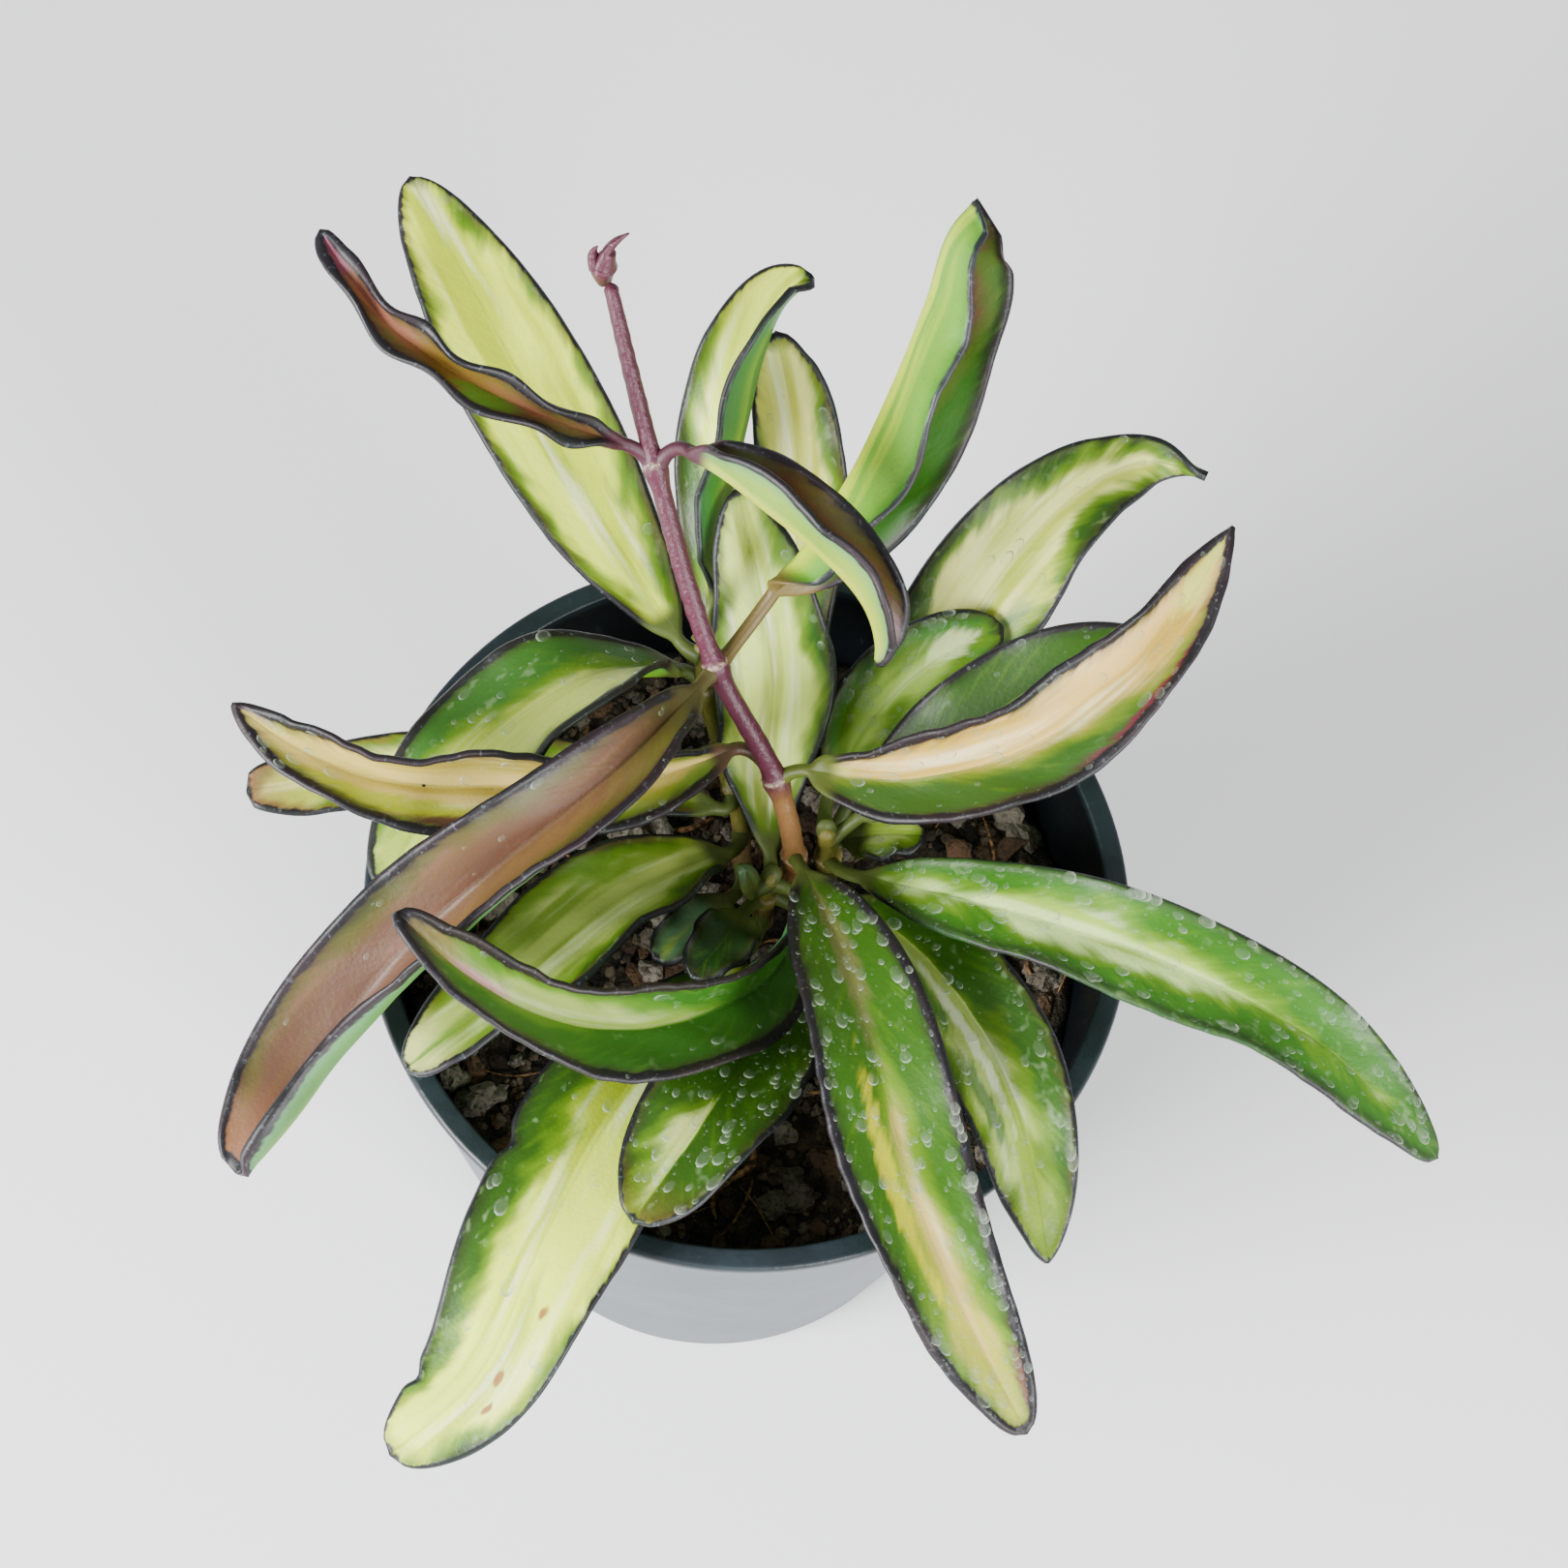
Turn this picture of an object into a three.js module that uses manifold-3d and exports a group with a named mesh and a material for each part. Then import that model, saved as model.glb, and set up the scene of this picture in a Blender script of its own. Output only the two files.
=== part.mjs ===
// Potted tricolor hoya: long waxy leaves on four short stems in a tapered nursery pot.
// Millimetres, +Z up; the origin is the centre of the pot's underside.
import * as THREE from 'three';
import Module from 'manifold-3d';
import { mergeVertices } from 'three/addons/utils/BufferGeometryUtils.js';

const wasm = await Module();
wasm.setup();

// Driving dimensions of the pot
const RIM_RADIUS = 50;
const POT_HEIGHT = 91;
const BASE_RADIUS = 34.5;
const LIP_WIDTH = 3;
const LIP_THICKNESS = 1.8;
const LIP_OVERHANG = 0.8;
const WALL = 1.4;
const FLOOR = 2;
const DRAIN_RADIUS = 4;
const DRAIN_CIRCLE = 22;
const DRAIN_COUNT = 6;
const POT_SEGMENTS = 56;

// Driving dimensions of the soil and of the stems that stand in it
const GAP = 0.3;
const SOIL_LEVEL = 74;
const SOIL_RELIEF = 1.6;
const SOIL_LUMPS = 46;
const SOIL_SPOKES = 34;
const SOIL_RINGS = 8;
const STEM_FOOT = 66;
const STEM_SIDES = 9;
const SLEEVE_SIDES = 12;
const RING_SPACING = 2.5;
const LONG_RING_SPACING = 3.4;
const NODE_SWELLING = 0.45;
const NODE_REACH = 1.6;

// Driving dimensions that all leaves share; a blade is a grid of stations along and strips across
const MIDRIB_THICKNESS = 1.3;
const MARGIN_THICKNESS = 0.7;
const STALK_RADIUS = 0.9;
const STALK_SIDES = 8;
const STALK_RUN = 0.05;
const NARROWEST = 0.04;
const STATION_SPACING = 5.4;
const STRIPS = 6;

const vec = ([x, y, z]) => new THREE.Vector3(x, y, z);
const mix = (a, b, t) => a + (b - a) * t;
const clamp01 = (t) => Math.min(1, Math.max(0, t));
const range = (count) => Array.from({ length: count }, (_, i) => i);
const radians = (degrees) => (degrees * Math.PI) / 180;

// Small seeded generator, so that every build gives the same relief
function seeded(seed) {
  let state = seed;
  return () => {
    state = (state * 1664525 + 1013904223) % 4294967296;
    return state / 4294967296;
  };
}

// Stems: the points of the centre line with the radius at each, from the foot in the soil to the top
const STEMS = {
  stem_main: {
    path: [[3.5, 11, STEM_FOOT], [4, 10.5, 72], [5, 9.5, 85], [1, 14, 98], [-9, 21.5, 113],
      [-20.5, 37.5, 133], [-29.5, 52.5, 150]],
    radius: [1.4, 1.4, 1.4, 1.4, 1.3, 1.2, 0.9],
    nodes: [2, 3, 4, 5],
    colour: 0x6e2c44,
  },
  stem_back: {
    path: [[0, 7, STEM_FOOT], [-1, 9.5, 72], [-3.5, 15.5, 83.5], [-7, 21, 89.5], [-10.5, 25.5, 98],
      [-12, 29, 104]],
    radius: [1.2, 1.2, 1.2, 1.1, 1.0, 0.9],
    nodes: [2.3, 2.8, 3.9],
    colour: 0xa07a3c,
  },
  stem_front: {
    path: [[3, 3, STEM_FOOT], [2.5, 4, 72], [2, 5.5, 80], [2.5, 6, 86]],
    radius: [1.5, 1.5, 1.5, 1.2],
    nodes: [2],
    colour: 0x8c7a44,
  },
  stem_side: {
    path: [[10.5, 11, STEM_FOOT], [10, 11.5, 72], [9.5, 12, 81], [8.5, 12.5, 89]],
    radius: [1.5, 1.5, 1.5, 1.2],
    nodes: [2],
    colour: 0x8c7a44,
  },
};

// Leaves: each midrib is a smooth line through hand-placed points from the blade's base to its tip.
// stem and node say where the stalk leaves; node counts along the stem's points.
// roll turns the blade about its midrib at the base and tip. left and right give each half's fold
// above flat at the base and at the tip, and how much further it curls by its margin, in degrees;
// a fourth number is the curl at the tip where it differs from the one at the base.
// peak, base and blunt shape the outline; wave, waves and phase make the margin's ripple.
const PLAIN = { roll: [0, 0], left: [12, 12, 10], right: [12, 12, 10], wave: 0.6, waves: 3, phase: 0 };
const SHAPE = { peak: 0.45, base: 0.6, blunt: 0.45, twist: 0 };
const CREAM = 0xdfe6a6;
const GREEN = 0x5f8f33;
const TAN = 0xa5694f;
const PINK = 0xd8c095;

const LEAVES = {
  leaf_back_left_broad: {
    stem: 'stem_back', node: 4.7, width: 18, colour: CREAM,
    midrib: [[-15, 29.5, 103], [-28.5, 42, 111], [-43.5, 57.5, 121], [-59.5, 76.5, 127]],
    left: [5, 5, 5], right: [5, 5, 5], wave: 0.3, peak: 0.5, blunt: 0.5,
  },
  leaf_left_broad: {
    stem: 'stem_back', node: 3.9, width: 19, colour: CREAM,
    midrib: [[-14, 26.5, 100], [-26, 19.5, 106], [-38, 7, 103.5], [-46, -10.5, 98]],
    roll: [10, 5], left: [50, -10, 10], right: [5, 5, 5],
  },
  leaf_back_sickle: {
    stem: 'stem_back', node: 5, width: 17, colour: CREAM,
    midrib: [[-11.5, 31.5, 106], [-12, 38, 111], [-11.5, 45, 117], [-11, 52, 124], [-10.5, 58, 130],
      [-8.5, 64, 134], [-5.5, 67, 136]],
    roll: [-10, -10], left: [5, 5, 10], right: [100, 70, 25], peak: 0.55, base: 0.9,
  },
  leaf_left_notched: {
    stem: 'stem_back', node: 2.3, width: 12, colour: CREAM,
    midrib: [[-6, 14, 86], [-19, 12.5, 90], [-43, 8, 95], [-66, 0, 97]],
    left: [8, 8, 8], right: [8, 8, 8], blunt: 0.25,
  },
  leaf_back_upright: {
    stem: 'stem_back', node: 2.8, width: 13.5, colour: CREAM,
    midrib: [[1.5, 24.5, 85], [-1, 37, 99], [-3.5, 52, 114], [-6.5, 58, 123], [-9, 61.5, 130]],
    peak: 0.6,
  },
  leaf_left_low: {
    stem: 'stem_back', node: 1.7, width: 17, colour: CREAM,
    midrib: [[-4, 9, 83], [-15.5, -2.5, 91], [-28.5, -21, 96], [-38.5, -33, 96]],
    left: [10, 10, 60],
  },
  leaf_low_grey: {
    stem: 'stem_back', node: 1.3, width: 8, colour: GREEN,
    midrib: [[-2.5, 4.5, 78.5], [-6.5, -1.5, 81], [-11, -7, 81.5]],
  },
  leaf_centre_broad: {
    stem: 'stem_front', node: 3, width: 17, colour: CREAM,
    midrib: [[2, 8.5, 84.5], [-1, 21, 90.5], [-2, 27.5, 100], [-5, 33.5, 110], [-10.5, 43, 121]],
    peak: 0.5, base: 0.85, blunt: 0.55,
  },
  leaf_front_round_tip: {
    stem: 'stem_front', node: 2.1, width: 18, colour: GREEN,
    midrib: [[9, 1.5, 79], [6.5, -12.5, 85], [-1, -33.5, 96], [-7, -48, 98]],
    peak: 0.6,
  },
  leaf_front_left_cream: {
    stem: 'stem_front', node: 1.5, width: 21.5, colour: CREAM,
    midrib: [[1, -2, 77.5], [-6, -17, 85], [-11.5, -31, 91.5], [-17.5, -51, 94.5], [-23, -69, 89],
      [-31.5, -78.5, 84]],
    left: [8, 8, 5], right: [0, 0, 5], base: 0.85, blunt: 0.4,
  },
  leaf_left_crescent: {
    stem: 'stem_front', node: 2.6, width: 17, colour: GREEN,
    midrib: [[7, 3.5, 83.5], [5, -7.5, 88.5], [-2, -18, 96.5], [-10, -24, 101.5], [-27, -27.5, 112],
      [-41.5, -22.5, 122]],
    left: [10, 10, 10], right: [40, 50, 70],
  },
  leaf_low_green: {
    stem: 'stem_front', node: 2, width: 9, colour: GREEN,
    midrib: [[-0.5, 1, 82.5], [-2, -4, 86], [-5.5, -11, 87.5]],
  },
  leaf_bud: {
    stem: 'stem_front', node: 2.7, width: 3.2, colour: GREEN,
    midrib: [[0, 3.5, 85], [-0.5, 4, 88], [-1.5, 4.5, 90.5]],
    left: [10, 10, 10], wave: 0,
  },
  leaf_top_left_narrow: {
    stem: 'stem_main', node: 5, width: 9, colour: TAN,
    midrib: [[-24.5, 38.5, 136], [-33.5, 37, 142], [-44.5, 37, 148], [-55, 41, 151.5],
      [-64.5, 49.5, 155.5]],
    roll: [-24, -24], left: [55, 50, 10], right: [55, 50, 10], wave: 0.8, waves: 4,
  },
  leaf_top_right_arched: {
    stem: 'stem_main', node: 5, width: 14, colour: TAN,
    midrib: [[-16.5, 38, 138], [-7.5, 31.5, 141], [1, 26.5, 140], [8, 22, 137], [11, 17, 131]],
    roll: [-30, -30], left: [55, 55, 10], right: [60, 60, 10],
  },
  leaf_back_right_folded: {
    stem: 'stem_main', node: 4, width: 23, colour: TAN,
    midrib: [[-3.5, 31.5, 117], [3, 42.5, 128], [6, 50, 136], [9, 60.5, 146], [11, 67.5, 154],
      [13, 69.5, 156]],
    roll: [15, 15], left: [115, 115, 15], right: [5, 5, 10], blunt: 0.22, wave: 0.9,
  },
  leaf_left_long_pink: {
    stem: 'stem_main', node: 4, width: 18.5, colour: TAN,
    midrib: [[-11, 17.5, 114], [-18.5, 3, 118], [-30.5, -10.5, 114], [-39.5, -19.5, 107.5],
      [-45, -26.5, 102], [-50.5, -36, 98], [-54, -44, 96], [-56.5, -49.5, 94]],
    left: [15, 0, 15, 190], right: [45, 0, 10], peak: 0.68, base: 0.5, blunt: 0.35,
  },
  leaf_right_pink: {
    stem: 'stem_main', node: 3, width: 15.5, colour: PINK,
    midrib: [[5, 15, 101], [18, 14.5, 105], [31.5, 19, 110], [43.5, 29.5, 117], [52.5, 47.5, 126]],
    left: [35, 15, 45], right: [5, 5, 15], base: 0.45, blunt: 0.7,
  },
  leaf_left_pink: {
    stem: 'stem_main', node: 3, width: 15, colour: PINK,
    midrib: [[-5.5, 16, 101], [-16.5, 7.5, 105.5], [-32.5, 1, 111], [-49.5, -2, 113.5], [-59.5, 0, 115],
      [-67.5, 3.5, 116]],
    left: [5, 5, 10], right: [45, 35, 85], blunt: 0.6,
  },
  leaf_front_centre: {
    stem: 'stem_main', node: 2, width: 17.5, colour: GREEN,
    midrib: [[6.5, 5.5, 90], [14, -10.5, 100], [18, -19.5, 102], [27, -40, 101], [45.5, -63.5, 90]],
  },
  leaf_back_right_broad: {
    stem: 'stem_side', node: 1.95, width: 19, colour: CREAM,
    midrib: [[11, 19, 83.5], [17, 31.5, 88], [22.5, 43, 95], [27, 50.5, 101], [31.5, 56, 106],
      [37, 61, 109], [43, 64, 110], [50, 63, 110]],
    left: [5, 5, 5], right: [5, 15, 5], peak: 0.48, blunt: 0.9, twist: 120,
  },
  leaf_right_round_tip: {
    stem: 'stem_side', node: 3, width: 14, colour: GREEN,
    midrib: [[8.5, 19.5, 87.5], [12.5, 28.5, 92], [19.5, 36.5, 96.5], [27, 41.5, 99]],
  },
  leaf_right_dark_green: {
    stem: 'stem_side', node: 2.6, width: 15, colour: GREEN,
    midrib: [[12.5, 15, 89], [22.5, 22.5, 100], [35.5, 32, 107.5], [48, 37, 110]],
  },
  leaf_right_small: {
    stem: 'stem_side', node: 1.8, width: 8, colour: GREEN,
    midrib: [[11.5, 15.5, 79], [16.5, 16, 82], [22, 16.5, 83]],
  },
  leaf_right_long: {
    stem: 'stem_side', node: 2, width: 15.5, colour: CREAM,
    midrib: [[14, 7, 88], [28, 1.5, 99], [53, -5, 106], [72.5, -10.5, 104], [92, -20, 94]],
  },
  leaf_front_right: {
    stem: 'stem_side', node: 1.6, width: 17, colour: CREAM,
    midrib: [[12.5, 6, 82], [26, -7, 93], [38, -25, 98], [45, -42, 92]],
    peak: 0.5, blunt: 0.6,
  },
};

// Closed meshes and solids
function geometryFrom(points, triangles) {
  const geometry = new THREE.BufferGeometry();
  const numbers = points.flatMap((point) => point.toArray());
  geometry.setAttribute('position', new THREE.Float32BufferAttribute(numbers, 3));
  geometry.setIndex(triangles);
  return geometry;
}

function solidOf(geometry) {
  const bare = geometry.clone();
  bare.deleteAttribute('normal');
  bare.deleteAttribute('uv');
  const merged = mergeVertices(bare, 1e-3);
  const mesh = new wasm.Mesh({
    numProp: 3,
    vertProperties: new Float32Array(merged.attributes.position.array),
    triVerts: new Uint32Array(merged.index.array),
  });
  return new wasm.Manifold(mesh);
}

function geometryOf(solid) {
  const mesh = solid.getMesh();
  const geometry = new THREE.BufferGeometry();
  geometry.setAttribute('position', new THREE.BufferAttribute(new Float32Array(mesh.vertProperties), 3));
  geometry.setIndex(new THREE.BufferAttribute(new Uint32Array(mesh.triVerts), 1));
  geometry.computeVertexNormals();
  return geometry;
}

// The largest piece of a solid, without the slivers that a cut may leave
function largestPiece(solid) {
  return solid.decompose().reduce((best, piece) => (piece.volume() > best.volume() ? piece : best));
}

// A smooth line through points: cubic pieces whose slope at a point weighs the chords on both sides
function smoothLine(points) {
  const knots = points.map(vec);
  const last = knots.length - 1;
  const chords = knots.slice(1).map((knot, i) => knot.clone().sub(knots[i]));
  const lengths = chords.map((chord) => chord.length());
  const slopes = chords.map((chord, i) => chord.clone().divideScalar(lengths[i]));
  const tangents = knots.map((_, i) => {
    if (i === 0 || i === last) return null;
    return slopes[i].clone().multiplyScalar(lengths[i - 1])
      .addScaledVector(slopes[i - 1], lengths[i])
      .divideScalar(lengths[i - 1] + lengths[i]);
  });
  tangents[0] = slopes[0].clone().multiplyScalar(1.5).addScaledVector(tangents[1], -0.5);
  tangents[last] = slopes[last - 1].clone().multiplyScalar(1.5).addScaledVector(tangents[last - 1], -0.5);
  const starts = [0];
  lengths.forEach((length, i) => starts.push(starts[i] + length));
  const total = starts[last];

  const at = (distance) => {
    let i = 0;
    while (i < last - 1 && distance > starts[i + 1]) i += 1;
    const h = lengths[i];
    const t = clamp01((distance - starts[i]) / h);
    const point = knots[i].clone().multiplyScalar(2 * t ** 3 - 3 * t ** 2 + 1)
      .addScaledVector(tangents[i], (t ** 3 - 2 * t ** 2 + t) * h)
      .addScaledVector(knots[i + 1], -2 * t ** 3 + 3 * t ** 2)
      .addScaledVector(tangents[i + 1], (t ** 3 - t ** 2) * h);
    const direction = knots[i].clone().multiplyScalar((6 * t ** 2 - 6 * t) / h)
      .addScaledVector(tangents[i], 3 * t ** 2 - 4 * t + 1)
      .addScaledVector(knots[i + 1], (-6 * t ** 2 + 6 * t) / h)
      .addScaledVector(tangents[i + 1], 3 * t ** 2 - 2 * t)
      .normalize();
    return { point, direction };
  };

  // The distance along the line at a count of points, such as 2.5 between the third and fourth
  const distanceAt = (count) => {
    const i = Math.min(Math.floor(count), last - 1);
    return mix(starts[i], starts[i + 1], count - i);
  };
  return { at, distanceAt, starts, total };
}

// A closed round rod along rings of centre, direction and radius
function rod(rings, sides) {
  const points = [];
  let across = new THREE.Vector3(0.3, 0.95, 0);
  for (const { point, direction, radius } of rings) {
    across = across.clone().addScaledVector(direction, -across.dot(direction)).normalize();
    const other = direction.clone().cross(across);
    for (let k = 0; k < sides; k += 1) {
      const angle = (2 * Math.PI * k) / sides;
      points.push(point.clone()
        .addScaledVector(across, radius * Math.cos(angle))
        .addScaledVector(other, radius * Math.sin(angle)));
    }
  }
  const triangles = [];
  for (let i = 0; i < rings.length - 1; i += 1) {
    for (let k = 0; k < sides; k += 1) {
      const a = i * sides + k;
      const b = i * sides + ((k + 1) % sides);
      triangles.push(a, b, b + sides, a, b + sides, a + sides);
    }
  }
  const first = points.length;
  points.push(rings[0].point.clone(), rings[rings.length - 1].point.clone());
  const top = (rings.length - 1) * sides;
  for (let k = 0; k < sides; k += 1) {
    const next = (k + 1) % sides;
    triangles.push(first, next, k, first + 1, top + k, top + next);
  }
  return solidOf(geometryFrom(points, triangles));
}

// Stems
const stemNames = Object.keys(STEMS);
const stemLines = Object.fromEntries(stemNames.map((name) => [name, smoothLine(STEMS[name].path)]));

// Rings along a stem; extra widens it, for the sleeve that keeps stalks and soil off it
function stemRings(name, spacing, extra) {
  const stem = STEMS[name];
  const line = stemLines[name];
  const count = Math.round(line.total / spacing);
  const rings = [];
  for (let i = 0; i <= count; i += 1) {
    const distance = (line.total * i) / count;
    let k = 0;
    while (k < line.starts.length - 2 && distance > line.starts[k + 1]) k += 1;
    const t = (distance - line.starts[k]) / (line.starts[k + 1] - line.starts[k]);
    const swelling = stem.nodes.reduce((sum, node) => {
      const away = (distance - line.distanceAt(node)) / NODE_REACH;
      return sum + NODE_SWELLING * Math.exp(-away * away);
    }, 0);
    const radius = mix(stem.radius[k], stem.radius[k + 1], t) + swelling + extra;
    rings.push({ ...line.at(distance), radius });
  }
  return rings;
}

// The growing tip: a small collar with two unopened leaves
function growingTip(line) {
  const { point, direction } = line.at(line.total);
  const collar = [[-2.5, 1.1], [-0.6, 1.9], [1.2, 1.8], [3, 0.9]].map(([along, radius]) => (
    { point: point.clone().addScaledVector(direction, along), direction, radius }));
  const sprout = (points, widths) => {
    const path = smoothLine(points);
    const step = path.total / (widths.length - 1);
    const rings = widths.map((radius, i) => ({ ...path.at(step * i), radius }));
    return rod(rings, 6);
  };
  const long = sprout([[-31, 53.5, 151], [-30, 55.5, 153.5], [-28, 56.5, 155.5]], [1.1, 1.1, 0.7, 0.3]);
  const short = sprout([[-31.5, 53.5, 151], [-32, 54.5, 153], [-31.5, 54.5, 154.5]], [0.9, 0.8, 0.3]);
  return rod(collar, 8).add(long).add(short);
}

function stemSolid(name) {
  if (name !== 'stem_main') return rod(stemRings(name, RING_SPACING, 0), STEM_SIDES);
  return rod(stemRings(name, LONG_RING_SPACING, 0), STEM_SIDES).add(growingTip(stemLines[name]));
}

// Leaf blades
function outline(leaf, s) {
  if (s < leaf.peak) return Math.sin((Math.PI / 2) * (s / leaf.peak)) ** leaf.base;
  return Math.max(0, Math.cos((Math.PI / 2) * ((s - leaf.peak) / (1 - leaf.peak)))) ** leaf.blunt;
}

// Middle surface of a blade at s from base to tip and t from the left margin (-1) to the right (1)
function bladePoint(leaf, line, side, s, t) {
  const { point, direction } = line.at(line.total * s);
  const right = side.clone().addScaledVector(direction, -side.dot(direction)).normalize();
  const up = right.clone().cross(direction);
  const turn = radians(mix(leaf.roll[0], leaf.roll[1], s) + leaf.twist * clamp01((s - 0.8) / 0.2) ** 2);
  const across = right.clone().multiplyScalar(Math.cos(turn)).addScaledVector(up, -Math.sin(turn));
  const above = up.multiplyScalar(Math.cos(turn)).addScaledVector(right, Math.sin(turn));
  const profile = Math.max(outline(leaf, s), NARROWEST);
  const half = (leaf.width / 2) * profile;
  const open = Math.min(1, profile / 0.5);
  const [foldBase, foldTip, curlBase, curlTip = curlBase] = t < 0 ? leaf.left : leaf.right;
  const fold = radians(mix(foldBase, foldTip, s)) * open;
  const curl = (radians(mix(curlBase, curlTip, s)) + 1e-3) * open;
  const reach = Math.abs(t);
  const edge = fold + curl * reach;
  const sign = Math.sign(t);
  const ripple = leaf.wave * t * t * Math.min(1, half / (0.3 * leaf.width))
    * Math.sin(2 * Math.PI * leaf.waves * s + leaf.phase + (t > 0 ? 1.3 : 0));
  const x = sign * ((half * (Math.sin(edge) - Math.sin(fold))) / curl - ripple * Math.sin(edge));
  const z = (half * (Math.cos(fold) - Math.cos(edge))) / curl + ripple * Math.cos(edge);
  return point.clone().addScaledVector(across, x).addScaledVector(above, z);
}

function bladeSolid(leaf, line) {
  const chord = line.at(line.total).point.sub(line.at(0).point);
  const side = new THREE.Vector3(chord.y, -chord.x, 0).normalize();
  const stations = Math.max(6, Math.round(line.total / STATION_SPACING) + 2);
  const across = STRIPS + 1;
  const at = (i, j) => bladePoint(leaf, line, side, i / (stations - 1), -1 + (2 * j) / STRIPS);
  const grid = range(stations).map((i) => range(across).map((j) => at(i, j)));
  const clampIndex = (k, n) => Math.min(n - 1, Math.max(0, k));
  const face = (offsetSign) => grid.flatMap((row, i) => row.map((point, j) => {
    const along = grid[clampIndex(i + 1, stations)][j].clone().sub(grid[clampIndex(i - 1, stations)][j]);
    const over = row[clampIndex(j + 1, across)].clone().sub(row[clampIndex(j - 1, across)]);
    const normal = over.cross(along).normalize();
    const thickness = mix(MIDRIB_THICKNESS, MARGIN_THICKNESS, Math.abs(-1 + (2 * j) / STRIPS));
    return point.clone().addScaledVector(normal, (offsetSign * thickness) / 2);
  }));
  const points = [...face(1), ...face(-1)];
  const under = stations * across;
  const triangles = [];
  for (let i = 0; i < stations - 1; i += 1) {
    for (let j = 0; j < STRIPS; j += 1) {
      const a = i * across + j;
      const b = a + 1;
      const c = b + across;
      const d = a + across;
      triangles.push(a, b, c, a, c, d);
      triangles.push(under + a, under + c, under + b, under + a, under + d, under + c);
    }
  }
  const wall = (a, b) => triangles.push(a, under + a, under + b, a, under + b, b);
  for (let j = 0; j < STRIPS; j += 1) {
    wall(j, j + 1);
    wall((stations - 1) * across + j + 1, (stations - 1) * across + j);
  }
  for (let i = 0; i < stations - 1; i += 1) {
    wall((i + 1) * across, i * across);
    wall(i * across + STRIPS, (i + 1) * across + STRIPS);
  }
  return solidOf(geometryFrom(points, triangles));
}

// The stalk leaves the stem's centre line, bends towards the blade and runs a little way under it
function stalkSolid(leaf, line) {
  const stemLine = stemLines[leaf.stem];
  const root = stemLine.at(stemLine.distanceAt(leaf.node)).point;
  const start = line.at(0);
  const bend = start.point.clone().addScaledVector(start.direction, -0.5 * start.point.distanceTo(root));
  const curve = new THREE.QuadraticBezierCurve3(root, bend, start.point);
  const rings = [0, 0.25, 0.5, 0.75, 1].map((u) => (
    { point: curve.getPoint(u), direction: curve.getTangent(u), radius: STALK_RADIUS }));
  const run = line.at(line.total * STALK_RUN);
  rings.push({ ...run, radius: STALK_RADIUS * 0.6 });
  return rod(rings, STALK_SIDES);
}

function leafSolid(leaf, sleeves) {
  const line = smoothLine(leaf.midrib);
  const whole = bladeSolid(leaf, line).add(stalkSolid(leaf, line));
  return largestPiece(whole.subtract(sleeves[leaf.stem]));
}

// Pot: a tapered wall under a flat lip, a floor with drain holes
function potSolid() {
  const lipUnder = POT_HEIGHT - LIP_THICKNESS;
  const wallTop = RIM_RADIUS - LIP_OVERHANG;
  const slope = (wallTop - BASE_RADIUS) / lipUnder;
  const inner = (z) => BASE_RADIUS + slope * z - WALL;
  const innerTop = lipUnder - 2;
  const profile = [
    [0, 0],
    [BASE_RADIUS, 0],
    [wallTop, lipUnder],
    [RIM_RADIUS, lipUnder],
    [RIM_RADIUS, POT_HEIGHT],
    [RIM_RADIUS - LIP_WIDTH, POT_HEIGHT],
    [inner(innerTop), innerTop],
    [inner(FLOOR), FLOOR],
    [0, FLOOR],
  ].map(([r, z]) => new THREE.Vector2(r, z));
  const shell = solidOf(upright(new THREE.LatheGeometry(profile, POT_SEGMENTS)));
  const drains = range(DRAIN_COUNT).map((k) => {
    const angle = (2 * Math.PI * k) / DRAIN_COUNT;
    const plug = upright(new THREE.CylinderGeometry(DRAIN_RADIUS, DRAIN_RADIUS, 4 * FLOOR, 14));
    plug.translate(DRAIN_CIRCLE * Math.cos(angle), DRAIN_CIRCLE * Math.sin(angle), 0);
    return solidOf(plug);
  });
  return drains.reduce((body, plug) => body.subtract(plug), shell);
}

// Lathes and cylinders stand along Y; this stands them along Z
function upright(geometry) {
  return geometry.rotateX(Math.PI / 2);
}

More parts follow.
